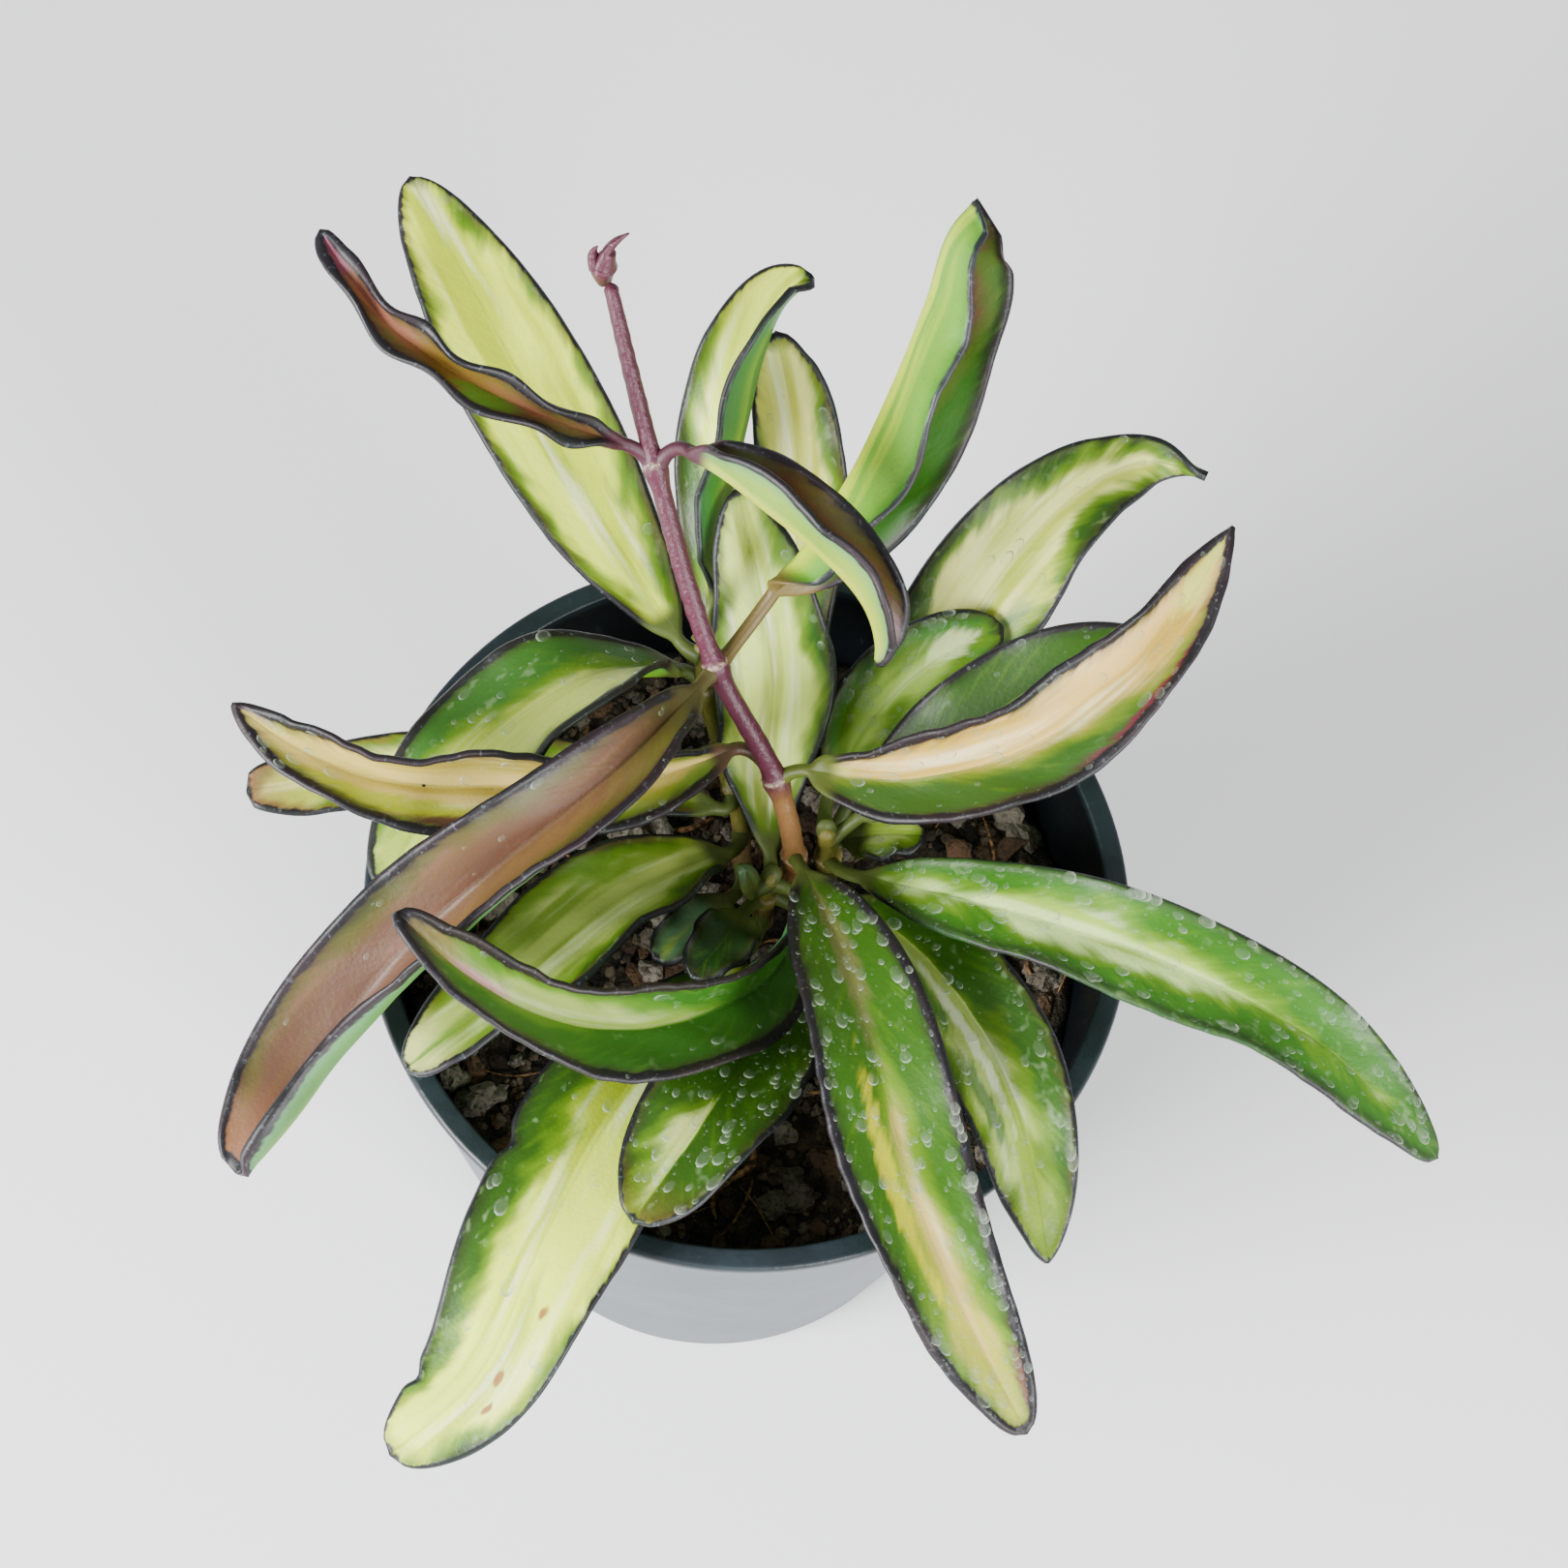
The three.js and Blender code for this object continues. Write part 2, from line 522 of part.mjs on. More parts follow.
// Soil: fills the pot below its level, with a lumpy top and a plain hole for each stem
function soilSolid(stemHoles) {
  const slope = (RIM_RADIUS - LIP_OVERHANG - BASE_RADIUS) / (POT_HEIGHT - LIP_THICKNESS);
  const radiusAt = (z) => BASE_RADIUS + slope * z - WALL - GAP;
  const floor = FLOOR + GAP;
  const random = seeded(41);
  const lumps = range(SOIL_LUMPS).map(() => {
    const angle = 2 * Math.PI * random();
    const reach = radiusAt(SOIL_LEVEL) * Math.sqrt(random());
    const size = mix(2.5, 5, random());
    return { x: reach * Math.cos(angle), y: reach * Math.sin(angle), size, rise: random() };
  });
  const height = (x, y) => lumps.reduce((top, lump) => {
    const near = Math.hypot(x - lump.x, y - lump.y) / lump.size;
    return top + SOIL_RELIEF * (lump.rise - 0.4) * Math.exp(-near * near);
  }, SOIL_LEVEL);

  const points = [new THREE.Vector3(0, 0, height(0, 0))];
  const pushRing = (radius, lift) => {
    for (let k = 0; k < SOIL_SPOKES; k += 1) {
      const angle = (2 * Math.PI * k) / SOIL_SPOKES;
      const x = radius * Math.cos(angle);
      const y = radius * Math.sin(angle);
      points.push(new THREE.Vector3(x, y, lift ?? height(x, y)));
    }
  };
  for (let i = 1; i < SOIL_RINGS; i += 1) pushRing((radiusAt(SOIL_LEVEL) * i) / SOIL_RINGS);
  pushRing(radiusAt(SOIL_LEVEL - 1), SOIL_LEVEL - 1);
  pushRing(radiusAt(floor), floor);
  const bottom = points.length;
  points.push(new THREE.Vector3(0, 0, floor));

  const triangles = [];
  for (let k = 0; k < SOIL_SPOKES; k += 1) {
    const next = (k + 1) % SOIL_SPOKES;
    triangles.push(0, 1 + k, 1 + next);
    for (let i = 0; i < SOIL_RINGS; i += 1) {
      const a = 1 + i * SOIL_SPOKES + k;
      const b = 1 + i * SOIL_SPOKES + next;
      triangles.push(a, a + SOIL_SPOKES, b + SOIL_SPOKES, a, b + SOIL_SPOKES, b);
    }
    triangles.push(bottom, 1 + SOIL_RINGS * SOIL_SPOKES + next, 1 + SOIL_RINGS * SOIL_SPOKES + k);
  }
  return stemHoles.reduce((body, hole) => body.subtract(hole), solidOf(geometryFrom(points, triangles)));
}

// Assembly
const sleeveOf = (name) => rod(stemRings(name, RING_SPACING, GAP), SLEEVE_SIDES);
const sleeves = Object.fromEntries(stemNames.map((name) => [name, sleeveOf(name)]));

// A stem's hole is its sleeve, deepened by the gap below the foot
const stemHoles = stemNames.map((name) => {
  const foot = stemLines[name].at(0);
  const radius = STEMS[name].radius[0] + GAP;
  const below = foot.point.clone().addScaledVector(foot.direction, -GAP);
  const above = foot.point.clone().addScaledVector(foot.direction, 1);
  const collar = rod([{ ...foot, point: below, radius }, { ...foot, point: above, radius }], SLEEVE_SIDES);
  return sleeves[name].add(collar);
});

const plant = new THREE.Group();
function place(name, solid, colour, roughness) {
  const material = new THREE.MeshStandardMaterial({ color: colour, roughness, metalness: 0 });
  const mesh = new THREE.Mesh(geometryOf(solid), material);
  mesh.name = name;
  plant.add(mesh);
}

place('pot', potSolid(), 0x2a3a44, 0.6);
place('soil', soilSolid(stemHoles), 0x3a2f27, 0.95);
for (const [name, stem] of Object.entries(STEMS)) place(name, stemSolid(name), stem.colour, 0.6);
for (const [name, leaf] of Object.entries(LEAVES)) {
  place(name, leafSolid({ ...PLAIN, ...SHAPE, ...leaf }, sleeves), leaf.colour, 0.45);
}

export default plant;
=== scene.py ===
import logging
from dataclasses import dataclass, field, replace
from enum import Enum
from typing import Any, Sequence

import bpy
import bmesh
import numpy as np
from mathutils import Matrix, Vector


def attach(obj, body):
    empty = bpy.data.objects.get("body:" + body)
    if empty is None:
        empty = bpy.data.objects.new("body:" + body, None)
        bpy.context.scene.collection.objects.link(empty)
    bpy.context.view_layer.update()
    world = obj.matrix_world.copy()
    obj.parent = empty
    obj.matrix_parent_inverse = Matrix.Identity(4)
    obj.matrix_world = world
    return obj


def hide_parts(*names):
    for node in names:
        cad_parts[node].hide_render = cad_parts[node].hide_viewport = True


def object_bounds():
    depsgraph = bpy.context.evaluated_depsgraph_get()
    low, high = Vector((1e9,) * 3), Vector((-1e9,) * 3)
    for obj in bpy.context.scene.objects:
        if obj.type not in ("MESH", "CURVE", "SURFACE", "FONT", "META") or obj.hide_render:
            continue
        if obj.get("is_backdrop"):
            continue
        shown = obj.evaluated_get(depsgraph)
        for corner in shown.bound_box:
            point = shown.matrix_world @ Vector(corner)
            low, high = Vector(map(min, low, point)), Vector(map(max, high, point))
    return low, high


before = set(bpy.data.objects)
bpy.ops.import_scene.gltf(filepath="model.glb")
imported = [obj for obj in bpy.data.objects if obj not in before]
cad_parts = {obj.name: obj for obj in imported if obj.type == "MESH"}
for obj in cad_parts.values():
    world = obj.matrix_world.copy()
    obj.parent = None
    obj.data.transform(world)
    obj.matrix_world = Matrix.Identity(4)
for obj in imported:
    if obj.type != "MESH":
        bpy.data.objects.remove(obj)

LOG = logging.getLogger("potted_hoya")
Array = np.ndarray
Points = Sequence[Sequence[float]]

MM = 0.001
BODY = "root"

# Sizes that the plant and its pot share with the solids, in millimetres
RIM_RADIUS = 50.0
POT_HEIGHT = 91.0
BASE_RADIUS = 34.5
LIP_WIDTH = 3.0
LIP_THICKNESS = 1.8
LIP_OVERHANG = 0.8
WALL = 1.4
FLOOR = 2.0
GAP = 0.3
SOIL_LEVEL = 74.0
SOIL_RELIEF = 1.6
SOIL_LUMPS = 46
STEM_FOOT = 66.0
STALK_RADIUS = 0.9
NARROWEST = 0.04


# Small helpers


def linear(colour: str, alpha: float = 1.0) -> tuple[float, float, float, float]:
    """Turns an sRGB hex colour into linear light.

    Args:
        colour: six hex digits after a hash sign.
        alpha: the fourth value.

    Returns:
        Linear red, green and blue, and alpha.
    """
    channels = (int(colour[i : i + 2], 16) / 255 for i in (1, 3, 5))
    red, green, blue = (c / 12.92 if c <= 0.04045 else ((c + 0.055) / 1.055) ** 2.4 for c in channels)
    return red, green, blue, alpha


def smoothstep(x: Array, low: float, high: float) -> Array:
    """Rises smoothly from 0 at low to 1 at high, as 3t^2 - 2t^3.

    Args:
        x: the values.
        low: where it starts.
        high: where it ends.

    Returns:
        The eased values.
    """
    t = np.clip((x - low) / (high - low), 0.0, 1.0)
    return t * t * (3.0 - 2.0 * t)


def unit(vectors: Array) -> Array:
    """Scales each row to length one."""
    return vectors / np.linalg.norm(vectors, axis=-1, keepdims=True)


def soft_noise(x: Array, y: Array, seed: int) -> Array:
    """A smooth uneven surface: the mean of nine sine waves with seeded directions and phases.

    Args:
        x: first coordinate, in units of about one bump.
        y: second coordinate, in the same units.
        seed: picks the pattern.

    Returns:
        Heights between about -1 and 1.
    """
    random = np.random.default_rng(seed)
    total = np.zeros(np.broadcast(x, y).shape)
    for _ in range(9):
        angle, phase = random.uniform(0.0, 2.0 * np.pi, 2)
        pace = random.uniform(0.6, 1.7) * np.pi
        total = total + np.sin(pace * (x * np.cos(angle) + y * np.sin(angle)) + phase)
    return total / 4.0


def smooth_line(points: Points, count: int) -> tuple[Array, Array]:
    """A smooth line through points, even along its chords.

    Cubic pieces join the points. The slope at a point weighs the chords on both sides by the other's length.

    Args:
        points: the points, in millimetres.
        count: how many places on the line to return.

    Returns:
        Positions and unit directions.
    """
    knots = np.asarray(points, float)
    lengths = np.linalg.norm(np.diff(knots, axis=0), axis=1)
    slopes = np.diff(knots, axis=0) / lengths[:, None]
    tangents = np.zeros_like(knots)
    before, after = lengths[:-1, None], lengths[1:, None]
    tangents[1:-1] = (slopes[1:] * before + slopes[:-1] * after) / (before + after)
    tangents[0] = 1.5 * slopes[0] - 0.5 * tangents[1]
    tangents[-1] = 1.5 * slopes[-1] - 0.5 * tangents[-2]
    starts = np.concatenate([[0.0], np.cumsum(lengths)])
    places = np.linspace(0.0, starts[-1], count)
    i = np.clip(np.searchsorted(starts, places, side="right") - 1, 0, len(lengths) - 1)
    h = lengths[i][:, None]
    t = ((places - starts[i]) / lengths[i])[:, None]
    position = (2 * t**3 - 3 * t**2 + 1) * knots[i] + (t**3 - 2 * t**2 + t) * h * tangents[i]
    position = position + (-2 * t**3 + 3 * t**2) * knots[i + 1] + (t**3 - t**2) * h * tangents[i + 1]
    direction = (6 * t**2 - 6 * t) / h * knots[i] + (3 * t**2 - 4 * t + 1) * tangents[i]
    direction = direction + (-6 * t**2 + 6 * t) / h * knots[i + 1] + (3 * t**2 - 2 * t) * tangents[i + 1]
    return position, unit(direction)


def ring_quads(rows: int, ring: int, closed: bool = True) -> Array:
    """Quads between neighbouring rows of a grid whose rows are rings of points.

    Args:
        rows: number of rings.
        ring: points in a ring.
        closed: whether the last point of a ring joins its first.

    Returns:
        Four point numbers for each quad.
    """
    across = ring if closed else ring - 1
    i, j = np.meshgrid(np.arange(rows - 1), np.arange(across), indexing="ij")
    k = (j + 1) % ring
    return np.stack([i * ring + j, i * ring + k, (i + 1) * ring + k, (i + 1) * ring + j], -1).reshape(-1, 4)


def capped_tube(rings: Array) -> tuple[Array, list[list[int]]]:
    """Closes a stack of rings with a fan at each end.

    Args:
        rings: positions, rings by points by 3.

    Returns:
        The points and the faces.
    """
    rows, ring = rings.shape[:2]
    points = np.concatenate([rings.reshape(-1, 3), rings[0].mean(0)[None], rings[-1].mean(0)[None]])
    j = np.arange(ring)
    k = (j + 1) % ring
    low, high, top = rows * ring, rows * ring + 1, (rows - 1) * ring
    first = np.stack([np.full(ring, low), k, j], -1)
    last = np.stack([np.full(ring, high), top + j, top + k], -1)
    return points, ring_quads(rows, ring).tolist() + first.tolist() + last.tolist()


def tube(path: Array, direction: Array, radius: Array, sides: int) -> Array:
    """A round tube: at each place a circle stands square to the direction.

    Args:
        path: centre line, in millimetres.
        direction: unit directions along it.
        radius: radius at each place, or at each place and side.
        sides: points round it.

    Returns:
        Positions, places by sides by 3.
    """
    lean = np.array([0.3, 0.95, 0.0])
    across = unit(lean - direction * (direction @ lean)[:, None])
    other = np.cross(direction, across)
    angle = np.linspace(0.0, 2.0 * np.pi, sides, endpoint=False)
    if radius.ndim == 1:
        radius = radius[:, None]
    circle = np.cos(angle)[None, :, None] * across[:, None] + np.sin(angle)[None, :, None] * other[:, None]
    return path[:, None] + radius[..., None] * circle


def volume_of(points: Array, faces: list[list[int]]) -> float:
    """Signed volume inside closed faces: a third of the sum of area times height, fan by fan.

    Args:
        points: positions.
        faces: point numbers of each face.

    Returns:
        The volume, negative if the faces point inwards.
    """
    triangles = [(face[0], face[i], face[i + 1]) for face in faces for i in range(1, len(face) - 1)]
    a, b, c = (points[np.array(triangles)[:, i]] for i in range(3))
    return float(np.einsum("ij,ij->i", a, np.cross(b, c)).sum() / 6.0)


def make_piece(
    name: str,
    points: Array,
    faces: list[list[int]],
    slot: str,
    material: bpy.types.Material,
    values: dict[str, Array] | None = None,
    smooth: bool = True,
) -> bpy.types.Object:
    """Makes an object from millimetre points, turned outwards, and lets it ride on the plant's body.

    Args:
        name: the piece's name.
        points: positions in millimetres.
        faces: point numbers of each face.
        slot: a material slot's name; not used.
        material: its finish.
        values: per-point vectors or numbers that the finish reads.
        smooth: whether its faces are shaded smooth.

    Returns:
        The object.
    """
    if volume_of(points, faces) < 0.0:
        faces = [face[::-1] for face in faces]
    mesh = bpy.data.meshes.new(name)
    mesh.from_pydata((points * MM).tolist(), [], faces)
    mesh.polygons.foreach_set("use_smooth", np.full(len(mesh.polygons), smooth))
    for key, value in (values or {}).items():
        kind = "FLOAT_VECTOR" if value.ndim == 2 else "FLOAT"
        layer = mesh.attributes.new(key, kind, "POINT")
        layer.data.foreach_set("vector" if value.ndim == 2 else "value", value.astype(np.float32).ravel())
    mesh.materials.append(material)
    mesh.update()
    piece = bpy.data.objects.new(name, mesh)
    bpy.context.scene.collection.objects.link(piece)
    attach(piece, BODY)
    LOG.info("%s: %d faces", name, len(mesh.polygons))
    return piece


def add(tree: bpy.types.NodeTree, kind: str, inputs: dict | None = None, **settings: Any) -> bpy.types.Node:
    """Adds a node with its settings and links.

    Args:
        tree: the node tree.
        kind: the node's type without its ShaderNode prefix.
        inputs: socket name or number to a value or to another node's output.
        settings: the node's own properties.

    Returns:
        The node.
    """
    node = tree.nodes.new("ShaderNode" + kind)
    for key, value in settings.items():
        setattr(node, key, value)
    for key, value in (inputs or {}).items():
        if isinstance(value, bpy.types.NodeSocket):
            tree.links.new(value, node.inputs[key])
        else:
            node.inputs[key].default_value = value
    return node


class Blend(Enum):
    """How a colour is laid over another."""

    OVER = "MIX"
    DARKEN = "MULTIPLY"


@dataclass
class Paint:
    """A material under construction: layers of colour over a base, then a shader."""

    name: str
    material: bpy.types.Material = field(init=False)
    tree: bpy.types.NodeTree = field(init=False)

    def __post_init__(self) -> None:
        """Starts with an empty node tree."""
        self.material = bpy.data.materials.new(self.name)
        self.material.use_nodes = True
        self.tree = self.material.node_tree
        self.tree.nodes.clear()

    def attribute(self, name: str, output: str = "Vector") -> bpy.types.NodeSocket:
        """The piece's own attribute of that name."""
        return add(self.tree, "Attribute", attribute_name=name).outputs[output]

    def object_mm(self) -> bpy.types.NodeSocket:
        """Object coordinates in millimetres."""
        place = add(self.tree, "TexCoord").outputs["Object"]
        return self.scaled(place, (1 / MM, 1 / MM, 1 / MM))

    def scaled(self, vector: bpy.types.NodeSocket, by: tuple[float, float, float]) -> bpy.types.NodeSocket:
        """The vector with each part multiplied."""
        node = add(self.tree, "VectorMath", {0: vector, 1: by}, operation="MULTIPLY")
        return node.outputs[0]

    def noise(
        self, vector: bpy.types.NodeSocket, scale: float = 1.0, detail: float = 3.0
    ) -> bpy.types.NodeSocket:
        """Cloudy noise between 0 and 1 with about that many features to each unit of the vector."""
        node = add(self.tree, "TexNoise", {"Vector": vector, "Scale": scale, "Detail": detail})
        return node.outputs["Fac"]

    def math(self, operation: str, a: Any, b: Any) -> bpy.types.NodeSocket:
        """A sum on two numbers or sockets."""
        return add(self.tree, "Math", {0: a, 1: b}, operation=operation).outputs[0]

    def ramp(
        self, value: bpy.types.NodeSocket, low: float, high: float, top: float = 1.0
    ) -> bpy.types.NodeSocket:
        """Rises smoothly from 0 at low to top at high; low may be above high."""
        ends = {"Value": value, "From Min": low, "From Max": high, "To Max": top}
        return add(self.tree, "MapRange", ends, interpolation_type="SMOOTHSTEP").outputs["Result"]

    def layer(self, under: Any, over: Any, amount: Any, blend: Blend = Blend.OVER) -> bpy.types.NodeSocket:
        """Lays a colour over another by an amount.

        Args:
            under: the lower colour, as sRGB hex or a socket.
            over: the upper colour, as sRGB hex or a socket.
            amount: how much of the upper one shows, from 0 to 1.
            blend: how the two are mixed.

        Returns:
            The mixed colour.
        """
        colours = [linear(c) if isinstance(c, str) else c for c in (under, over)]
        inputs = {0: amount, 6: colours[0], 7: colours[1]}
        return add(self.tree, "Mix", inputs, data_type="RGBA", blend_type=blend.value).outputs[2]

    def finish(
        self,
        colour: Any,
        roughness: Any,
        height: bpy.types.NodeSocket | None = None,
        depth_mm: float = 0.1,
        **sockets: Any,
    ) -> bpy.types.Material:
        """Ends the material in one shader.

        Args:
            colour: base colour.
            roughness: number or socket.
            height: what the bump follows.
            depth_mm: how deep the bump reads.
            sockets: further shader sockets, with spaces as underscores.

        Returns:
            The material.
        """
        inputs = {"Base Color": colour, "Roughness": roughness}
        inputs.update({key.replace("_", " "): value for key, value in sockets.items()})
        if height is not None:
            bump = add(self.tree, "Bump", {"Height": height, "Distance": depth_mm * MM, "Strength": 1.0})
            inputs["Normal"] = bump.outputs["Normal"]
        shader = add(self.tree, "BsdfPrincipled", inputs)
        add(self.tree, "OutputMaterial", {"Surface": shader.outputs[0]})
        return self.material


# Leaves


@dataclass(frozen=True)
class Patch:
    """A soft-edged spot of another colour on a leaf's upper face.

    across and along place it, as shares of the half width and the length; wide and long are its radii.
    """

    colour: str
    across: float
    along: float
    wide: float
    long: float
    amount: float = 0.8


# Tints that all leaves share: pale mineral spots, dark grain on the underside, and dust on the margin.
FROST_TINT = "#7d9a66"
UNDER_GRAIN = "#1f3a1c"
MARGIN_DUST = "#67737c"


@dataclass(frozen=True)
class LeafFinish:
    """Waxy skin of one leaf: a pale centre, a yellow-green halo, a green band and a dark margin.

    left and right give the pale centre's reach at five places from base to tip, as a share of the half width.
    drift, feather, margin_mm and blush_mm are in millimetres: how far the border wanders and feathers, and
    how wide the margin and the tint inside it are. frost is how much silvery spotting the green has.
    """

    centre: str = "#dcee44"
    pale: str = "#f2fbcc"
    flush: str = "#acbe00"
    halo: str = "#5a8000"
    green: str = "#2a4f04"
    deep: str = "#162e06"
    margin: str = "#101a15"
    margin_tint: str = "#121015"
    blush: str = "#51491c"
    stalk: str = "#4d5a24"
    tip: str = "#4f6a22"
    under: str = "#3b7014"
    under_flush: str = "#93aa08"
    # The underside's edge colour is painted sheen: a bluer, greyer green near the edge, where light glances
    # off the underside.
    under_edge_sheen: str = "#3c6f44"
    left: tuple[float, ...] = (0.5, 0.7, 0.75, 0.75, 0.7)
    right: tuple[float, ...] = (0.5, 0.7, 0.75, 0.75, 0.7)
    flushed: float = 0.85
    drift: float = 2.2
    feather: float = 0.8
    margin_mm: float = 0.45
    blush_mm: float = 1.5
    blushed: float = 0.35
    tipped: float = 0.0
    tip_mm: float = 1.5
    frost: float = 0.3
    patches: tuple[Patch, ...] = ()

    def build(self, name: str) -> bpy.types.Material:
        """Builds the skin.

        Fleshy leaf under a thin wax: semi-gloss, with soft streaks along the blade and a border that wanders
        and feathers along the side veins. Patterns follow the blade by its own millimetres.

        Args:
            name: the material's name.

        Returns:
            The material.
        """
        paint = Paint(name)
        blade = paint.attribute("blade")
        vein = paint.attribute("vein")
        zone = add(paint.tree, "SeparateXYZ", {0: paint.attribute("zone")}).outputs
        parts = add(paint.tree, "SeparateXYZ", {0: paint.attribute("field")}).outputs
        across = add(paint.tree, "SeparateXYZ", {0: blade}).outputs[0]
        centre, edge, under = parts[0], parts[1], parts[2]
        drift = paint.noise(paint.scaled(blade, (0.13, 0.085, 1.0)), 1.0, 2.0)
        feather = paint.noise(paint.scaled(vein, (0.24, 0.12, 1.0)), 1.0, 3.5)
        streak = paint.noise(paint.scaled(blade, (0.34, 0.028, 1.3)), 1.0, 2.0)
        strand = paint.noise(paint.scaled(blade, (0.42, 0.035, 2.1)), 1.0, 4.0)
        mottle = paint.noise(paint.scaled(vein, (0.5, 0.3, 1.7)), 1.0, 4.0)
        grain = paint.noise(blade, 1.7, 3.0)
        spots = paint.noise(paint.scaled(blade, (1.0, 0.75, 1.9)), 0.62, 1.5)

        wander = paint.math("MULTIPLY", paint.math("SUBTRACT", drift, 0.5), 4.0 * self.drift)
        comb = paint.math("MULTIPLY", paint.math("SUBTRACT", feather, 0.5), 4.0 * self.feather)
        reach = paint.math("ADD", centre, paint.math("ADD", wander, comb))
        pale = paint.layer(self.centre, self.flush, paint.ramp(streak, 0.42, 0.6, self.flushed))
        pale = paint.layer(pale, self.pale, paint.ramp(strand, 0.52, 0.72, 0.65))
        pale = paint.layer(pale, self.halo, paint.ramp(mottle, 0.6, 0.8, 0.22))
        rich = paint.layer(self.deep, self.green, paint.ramp(edge, 0.2, 2.6))
        rich = paint.layer(rich, self.halo, paint.ramp(mottle, 0.52, 0.72, 0.3))
        rich = paint.layer(rich, FROST_TINT, paint.ramp(spots, 0.6, 0.76, self.frost))
        skin = paint.layer(rich, self.halo, paint.ramp(reach, -2.1, -0.2, 0.95))
        skin = paint.layer(skin, pale, paint.ramp(reach, -0.6, 2.0))
        ragged = paint.math("ADD", edge, paint.math("MULTIPLY", paint.math("SUBTRACT", mottle, 0.5), 3.5))
        beside_margin = paint.ramp(ragged, self.margin_mm + self.blush_mm, 0.2, self.blushed)
        skin = paint.layer(skin, self.blush, beside_margin)
        skin = paint.layer(skin, self.tip, paint.ramp(zone[1], 0.84, 0.99, self.tipped))
        off_midline = add(paint.tree, "Math", {0: across}, operation="ABSOLUTE").outputs[0]
        midline = paint.ramp(off_midline, 0.35, 0.0, 0.2)
        skin = paint.layer(skin, self.halo, midline)
        for patch in self.patches:
            skin = self.laid(paint, skin, patch, mottle)

        middle = paint.ramp(add(paint.tree, "Math", {0: zone[0]}, operation="ABSOLUTE").outputs[0], 0.75, 0.1)
        # Painted sheen: the underside turns to its edge colour over the last 3 mm before the margin.
        belly = paint.layer(self.under_edge_sheen, self.under, paint.ramp(edge, 0.0, 3.0))
        veined = paint.math("MULTIPLY", middle, paint.ramp(strand, 0.42, 0.6, 0.85))
        belly = paint.layer(belly, self.under_flush, veined)
        belly = paint.layer(belly, UNDER_GRAIN, paint.ramp(grain, 0.62, 0.72, 0.25))
        skin = paint.layer(skin, belly, under)

        rim = paint.math("ADD", edge, paint.math("MULTIPLY", paint.math("SUBTRACT", mottle, 0.5), 1.2))
        line = paint.ramp(rim, self.margin_mm + 0.35, self.margin_mm - 0.1)
        border = paint.layer(self.margin, self.margin_tint, paint.ramp(drift, 0.4, 0.6))
        skin = paint.layer(skin, border, line)
        dust = paint.math("MULTIPLY", line, paint.ramp(grain, 0.6, 0.72, 0.3))
        skin = paint.layer(skin, MARGIN_DUST, dust)
        skin = paint.layer(skin, self.stalk, paint.ramp(zone[2], 0.15, 0.7))

        gloss = paint.math("ADD", 0.36, paint.math("MULTIPLY", drift, 0.24))
        relief = paint.math("ADD", grain, paint.math("MULTIPLY", mottle, 1.1))
        return paint.finish(
            skin, gloss, relief, 0.05, IOR=1.45, Subsurface_Weight=0.06, Subsurface_Scale=0.002
        )

    def laid(
        self, paint: Paint, skin: bpy.types.NodeSocket, patch: Patch, ragged: Any
    ) -> bpy.types.NodeSocket:
        """Lays a patch over the skin, with an uneven rim.

        Args:
            paint: the material under construction.
            skin: the colour below.
            patch: what to lay.
            ragged: the noise that makes its rim uneven.

        Returns:
            The new colour.
        """
        away = add(
            paint.tree, "VectorMath",
            {0: paint.attribute("zone"), 1: (patch.across, patch.along, 0.0)}, operation="SUBTRACT",
        ).outputs[0]
        scaled = paint.scaled(away, (1 / patch.wide, 1 / patch.long, 0.0))
        far = add(paint.tree, "VectorMath", {0: scaled}, operation="LENGTH").outputs["Value"]
        far = paint.math("ADD", far, paint.math("MULTIPLY", paint.math("SUBTRACT", ragged, 0.5), 1.6))
        return paint.layer(skin, patch.colour, paint.ramp(far, 1.25, 0.5, patch.amount))


